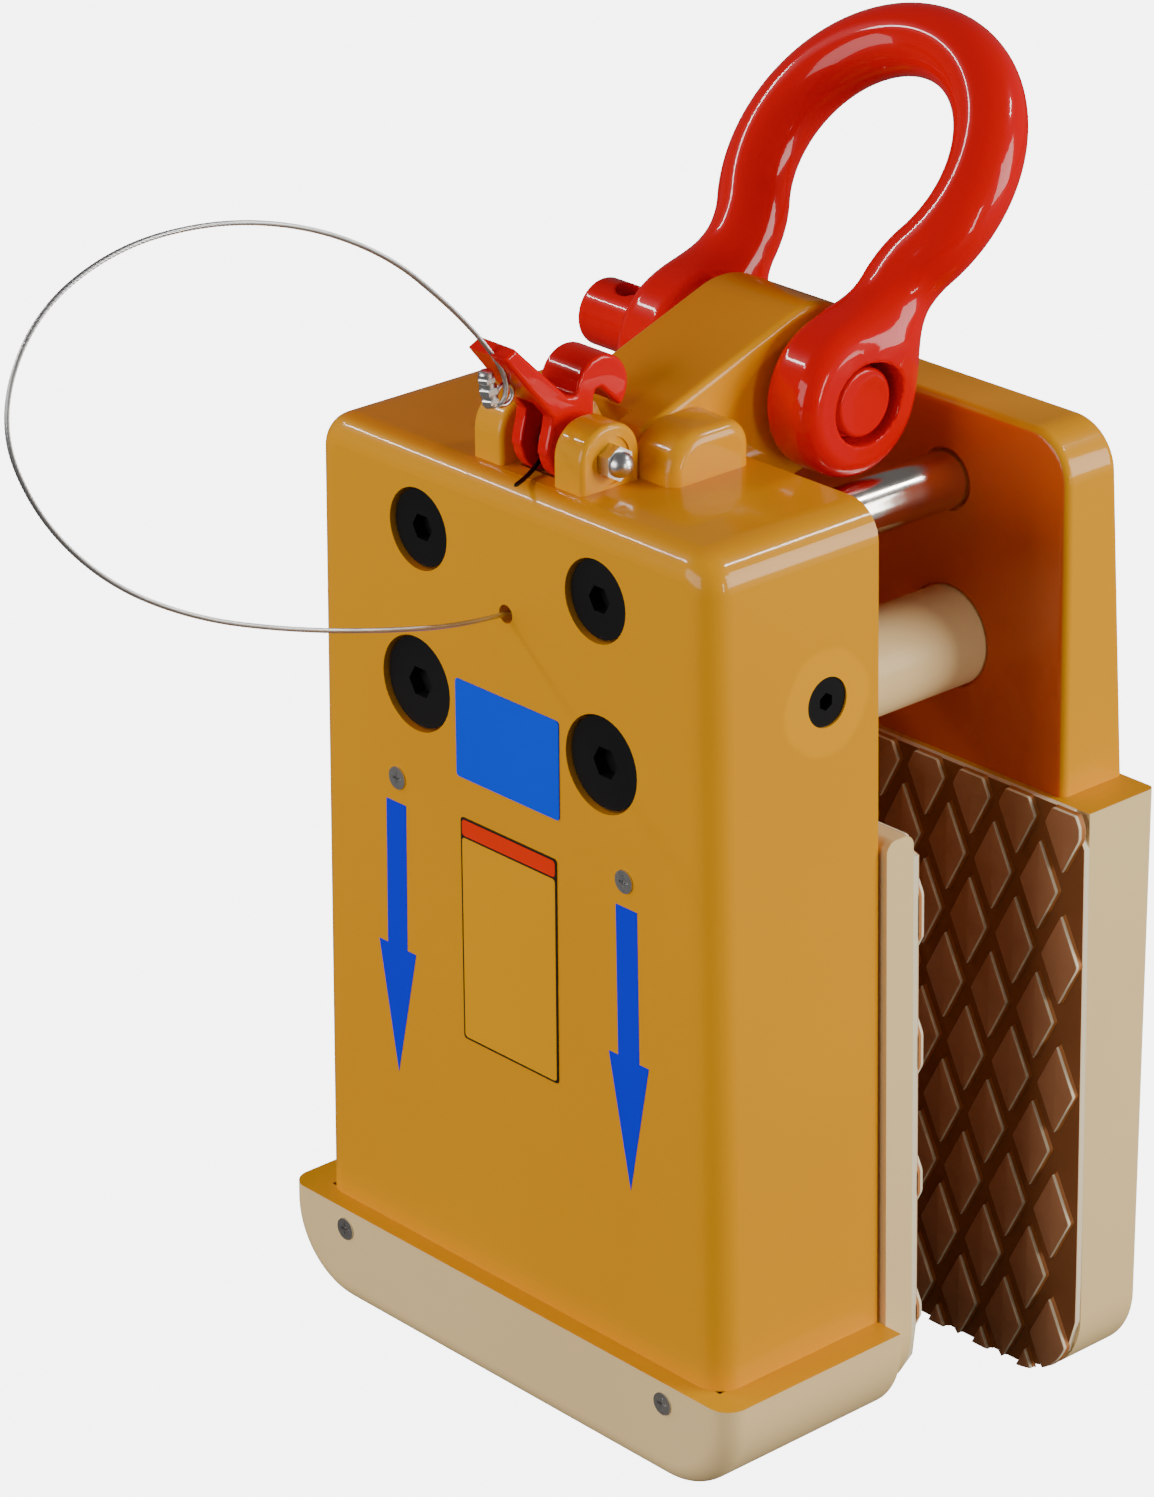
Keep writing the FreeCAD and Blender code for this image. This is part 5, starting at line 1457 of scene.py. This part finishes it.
@dataclass(frozen=True)
class Lamp:
    """Rectangular light: its place and size in metres, its power in watts and its colour."""

    name: str
    spot: Point
    size: tuple[float, float]
    power: float
    tint: Colour = (1.0, 1.0, 1.0)

    def hang(self, target: Point) -> None:
        """Hang the light so that it faces the target."""
        data = bpy.data.lights.new(self.name, "AREA")
        data.shape = "RECTANGLE"
        data.size, data.size_y = self.size
        data.energy = self.power
        data.color = self.tint
        light = bpy.data.objects.new(self.name, data)
        bpy.context.scene.collection.objects.link(light)
        aim = Vector(target) - Vector(self.spot)
        light.rotation_euler = aim.to_track_quat("-Z", "Y").to_euler()
        light.location = self.spot


@dataclass
class Studio:
    """Floor that the camera sees as white, even light, lamps, and the photograph's camera.

    The camera's angles are in degrees, its distance and the hole's place in the picture in
    metres, and its lens and sensor in millimetres.
    """

    azimuth: float = 48.02
    elevation: float = 23.73
    roll: float = -0.45
    distance: float = 1.640
    lens: float = 130.15
    sensor: float = 36.0
    hole_right: float = 0.0216
    hole_up: float = -0.0407
    target: Point = (0.0, -0.08, 0.2)
    floor_size: float = 7.0
    floor_drop: float = 0.0002
    floor_grid: tuple[int, int] = (30, 60)
    paper: tuple[float, float] = (0.12, 0.15)
    paper_cloud: float = 3.0
    paper_roughness: float = 0.8
    paper_specular: float = 0.1
    paper_glow: float = 6.0
    sky: float = 0.14
    lamps: tuple[Lamp, ...] = (
        Lamp("front", (-0.5, -2.6, 0.8), (2.2, 1.4), 47.0, (1.0, 0.98, 0.95)),
        Lamp("side", (2.25, 1.45, 0.85), (1.3, 1.5), 64.0, (1.0, 1.0, 0.96)),
        Lamp("edge_left", (-1.77, -1.12, 1.79), (0.9, 0.08), 15.0),
        Lamp("edge_back", (1.04, 1.51, 1.97), (0.5, 0.1), 12.0),
        Lamp("gap", (1.5, -0.06, 0.34), (0.12, 0.5), 3.6, (1.0, 0.95, 0.85)))

    def camera(self) -> None:
        """Stand the camera where the photograph was taken from."""
        az, el, tilt = (math.radians(v) for v in (self.azimuth, self.elevation, self.roll))
        back = Vector((math.sin(az) * math.cos(el), -math.cos(az) * math.cos(el), math.sin(el)))
        right = Vector((math.cos(az), math.sin(az), 0.0))
        up = back.cross(right)
        side = right * math.cos(tilt) + up * math.sin(tilt)
        top = up * math.cos(tilt) - right * math.sin(tilt)
        spot = (Vector(place(0, 0, 0)) + side * self.hole_right + top * self.hole_up
                + back * self.distance)
        data = bpy.data.cameras.new("camera")
        data.sensor_fit = "VERTICAL"
        data.sensor_height = self.sensor
        data.lens = self.lens
        camera = bpy.data.objects.new("camera", data)
        bpy.context.scene.collection.objects.link(camera)
        turn = Matrix((side, top, back)).transposed()
        camera.matrix_world = Matrix.Translation(spot) @ turn.to_4x4()
        bpy.context.scene.camera = camera

    def floor(self) -> None:
        """Lay the flat floor; it glows for the camera only, as white paper does."""
        rows, columns = self.floor_grid
        u, v = np.meshgrid(np.linspace(-1, 1, rows), np.linspace(-1, 1, columns), indexing="ij")
        x, y = u * self.floor_size, v * self.floor_size
        z = np.zeros_like(x) - self.floor_drop
        piece = mesh_piece("floor", np.stack([x, y, z], -1).reshape(-1, 3),
                           grid_faces(rows, columns, False)[:, ::-1].tolist())
        paper = bpy.data.materials.new("floor_paper")
        paper.use_nodes = True
        kit = Nodes(paper.node_tree)
        shader = kit.shader()
        cloud = kit.noise(kit.add("ShaderNodeTexCoord").outputs["Object"], self.paper_cloud, 3.0)
        low, high = ((tone, tone, tone, 1.0) for tone in self.paper)
        kit.join(kit.mix(cloud, low, high), shader.inputs["Base Color"])
        kit.fill(shader, {"Roughness": self.paper_roughness,
                          "Specular IOR Level": self.paper_specular,
                          "Emission Color": (1.0, 1.0, 1.0, 1.0)})
        seen = kit.add("ShaderNodeLightPath").outputs["Is Camera Ray"]
        kit.join(kit.times(seen, self.paper_glow), shader.inputs["Emission Strength"])
        piece.data.materials.append(paper)

    def world(self) -> None:
        """Let soft even light in from all sides."""
        world = bpy.data.worlds.new("studio")
        bpy.context.scene.world = world
        world.use_nodes = True
        Nodes(world.node_tree).fill(world.node_tree.nodes["Background"],
                                    {"Color": (1.0, 1.0, 1.0, 1.0), "Strength": self.sky})

    def build(self) -> None:
        """Make the whole studio."""
        self.floor()
        self.world()
        self.camera()
        for lamp in self.lamps:
            lamp.hang(self.target)


def dress_frame(finishes: Finishes) -> None:
    """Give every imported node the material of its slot.

    Args:
        finishes: Materials by name.
    """
    slots = {slot.value for slot in Slot}
    for name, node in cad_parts.items():
        for index, material in enumerate(node.data.materials):
            key = material.name.split(".")[0]
            if key in slots:
                node.data.materials[index] = finishes[key]
            else:
                LOG.warning("node %s keeps %s", name, key)


def make_finishes() -> Finishes:
    """Build every material once.

    Returns:
        Materials by name.
    """
    groups = {"paint": paint_group(), "metal": metal_group()}
    made = {finish.slot.value: finish.build(groups) for finish in FINISHES}
    for name, finish in EXTRA_FINISHES.items():
        made[name] = finish.build(groups, name)
    return made


def main() -> None:
    """Build the object piece by piece and log each piece's face count."""
    logging.basicConfig(level=logging.INFO, format="%(name)s: %(message)s")
    finishes = make_finishes()
    dress_frame(finishes)
    LOG.info("frame dressed, %d nodes", len(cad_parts))
    Studio().build()
    pieces = [ReleaseCable().build(finishes), *FrontPlates().build(finishes)]
    pads = (GripPad("rear_grip", "rear_pad", "frame", face=142.0, base=144.5, back=146.9,
                    top=-76.55, bottom=-280.6, half=106.0, round_by=25.0, first=-105.2),
            GripPad("moving_grip", "moving_pad", "moving_jaw", face=86.8, base=84.3, back=81.9,
                    top=-71.0, bottom=-268.0, half=93.0, round_by=27.0, first=-96.2))
    for part in (*pads, Shackle(), ShacklePin(), LatchHook(), CableClip(), LatchSpring()):
        pieces.append(part.build(finishes))
    for piece in pieces:
        LOG.info("%s made, %d faces", piece.name, len(piece.data.polygons))


if __name__ == "__main__":
    main()
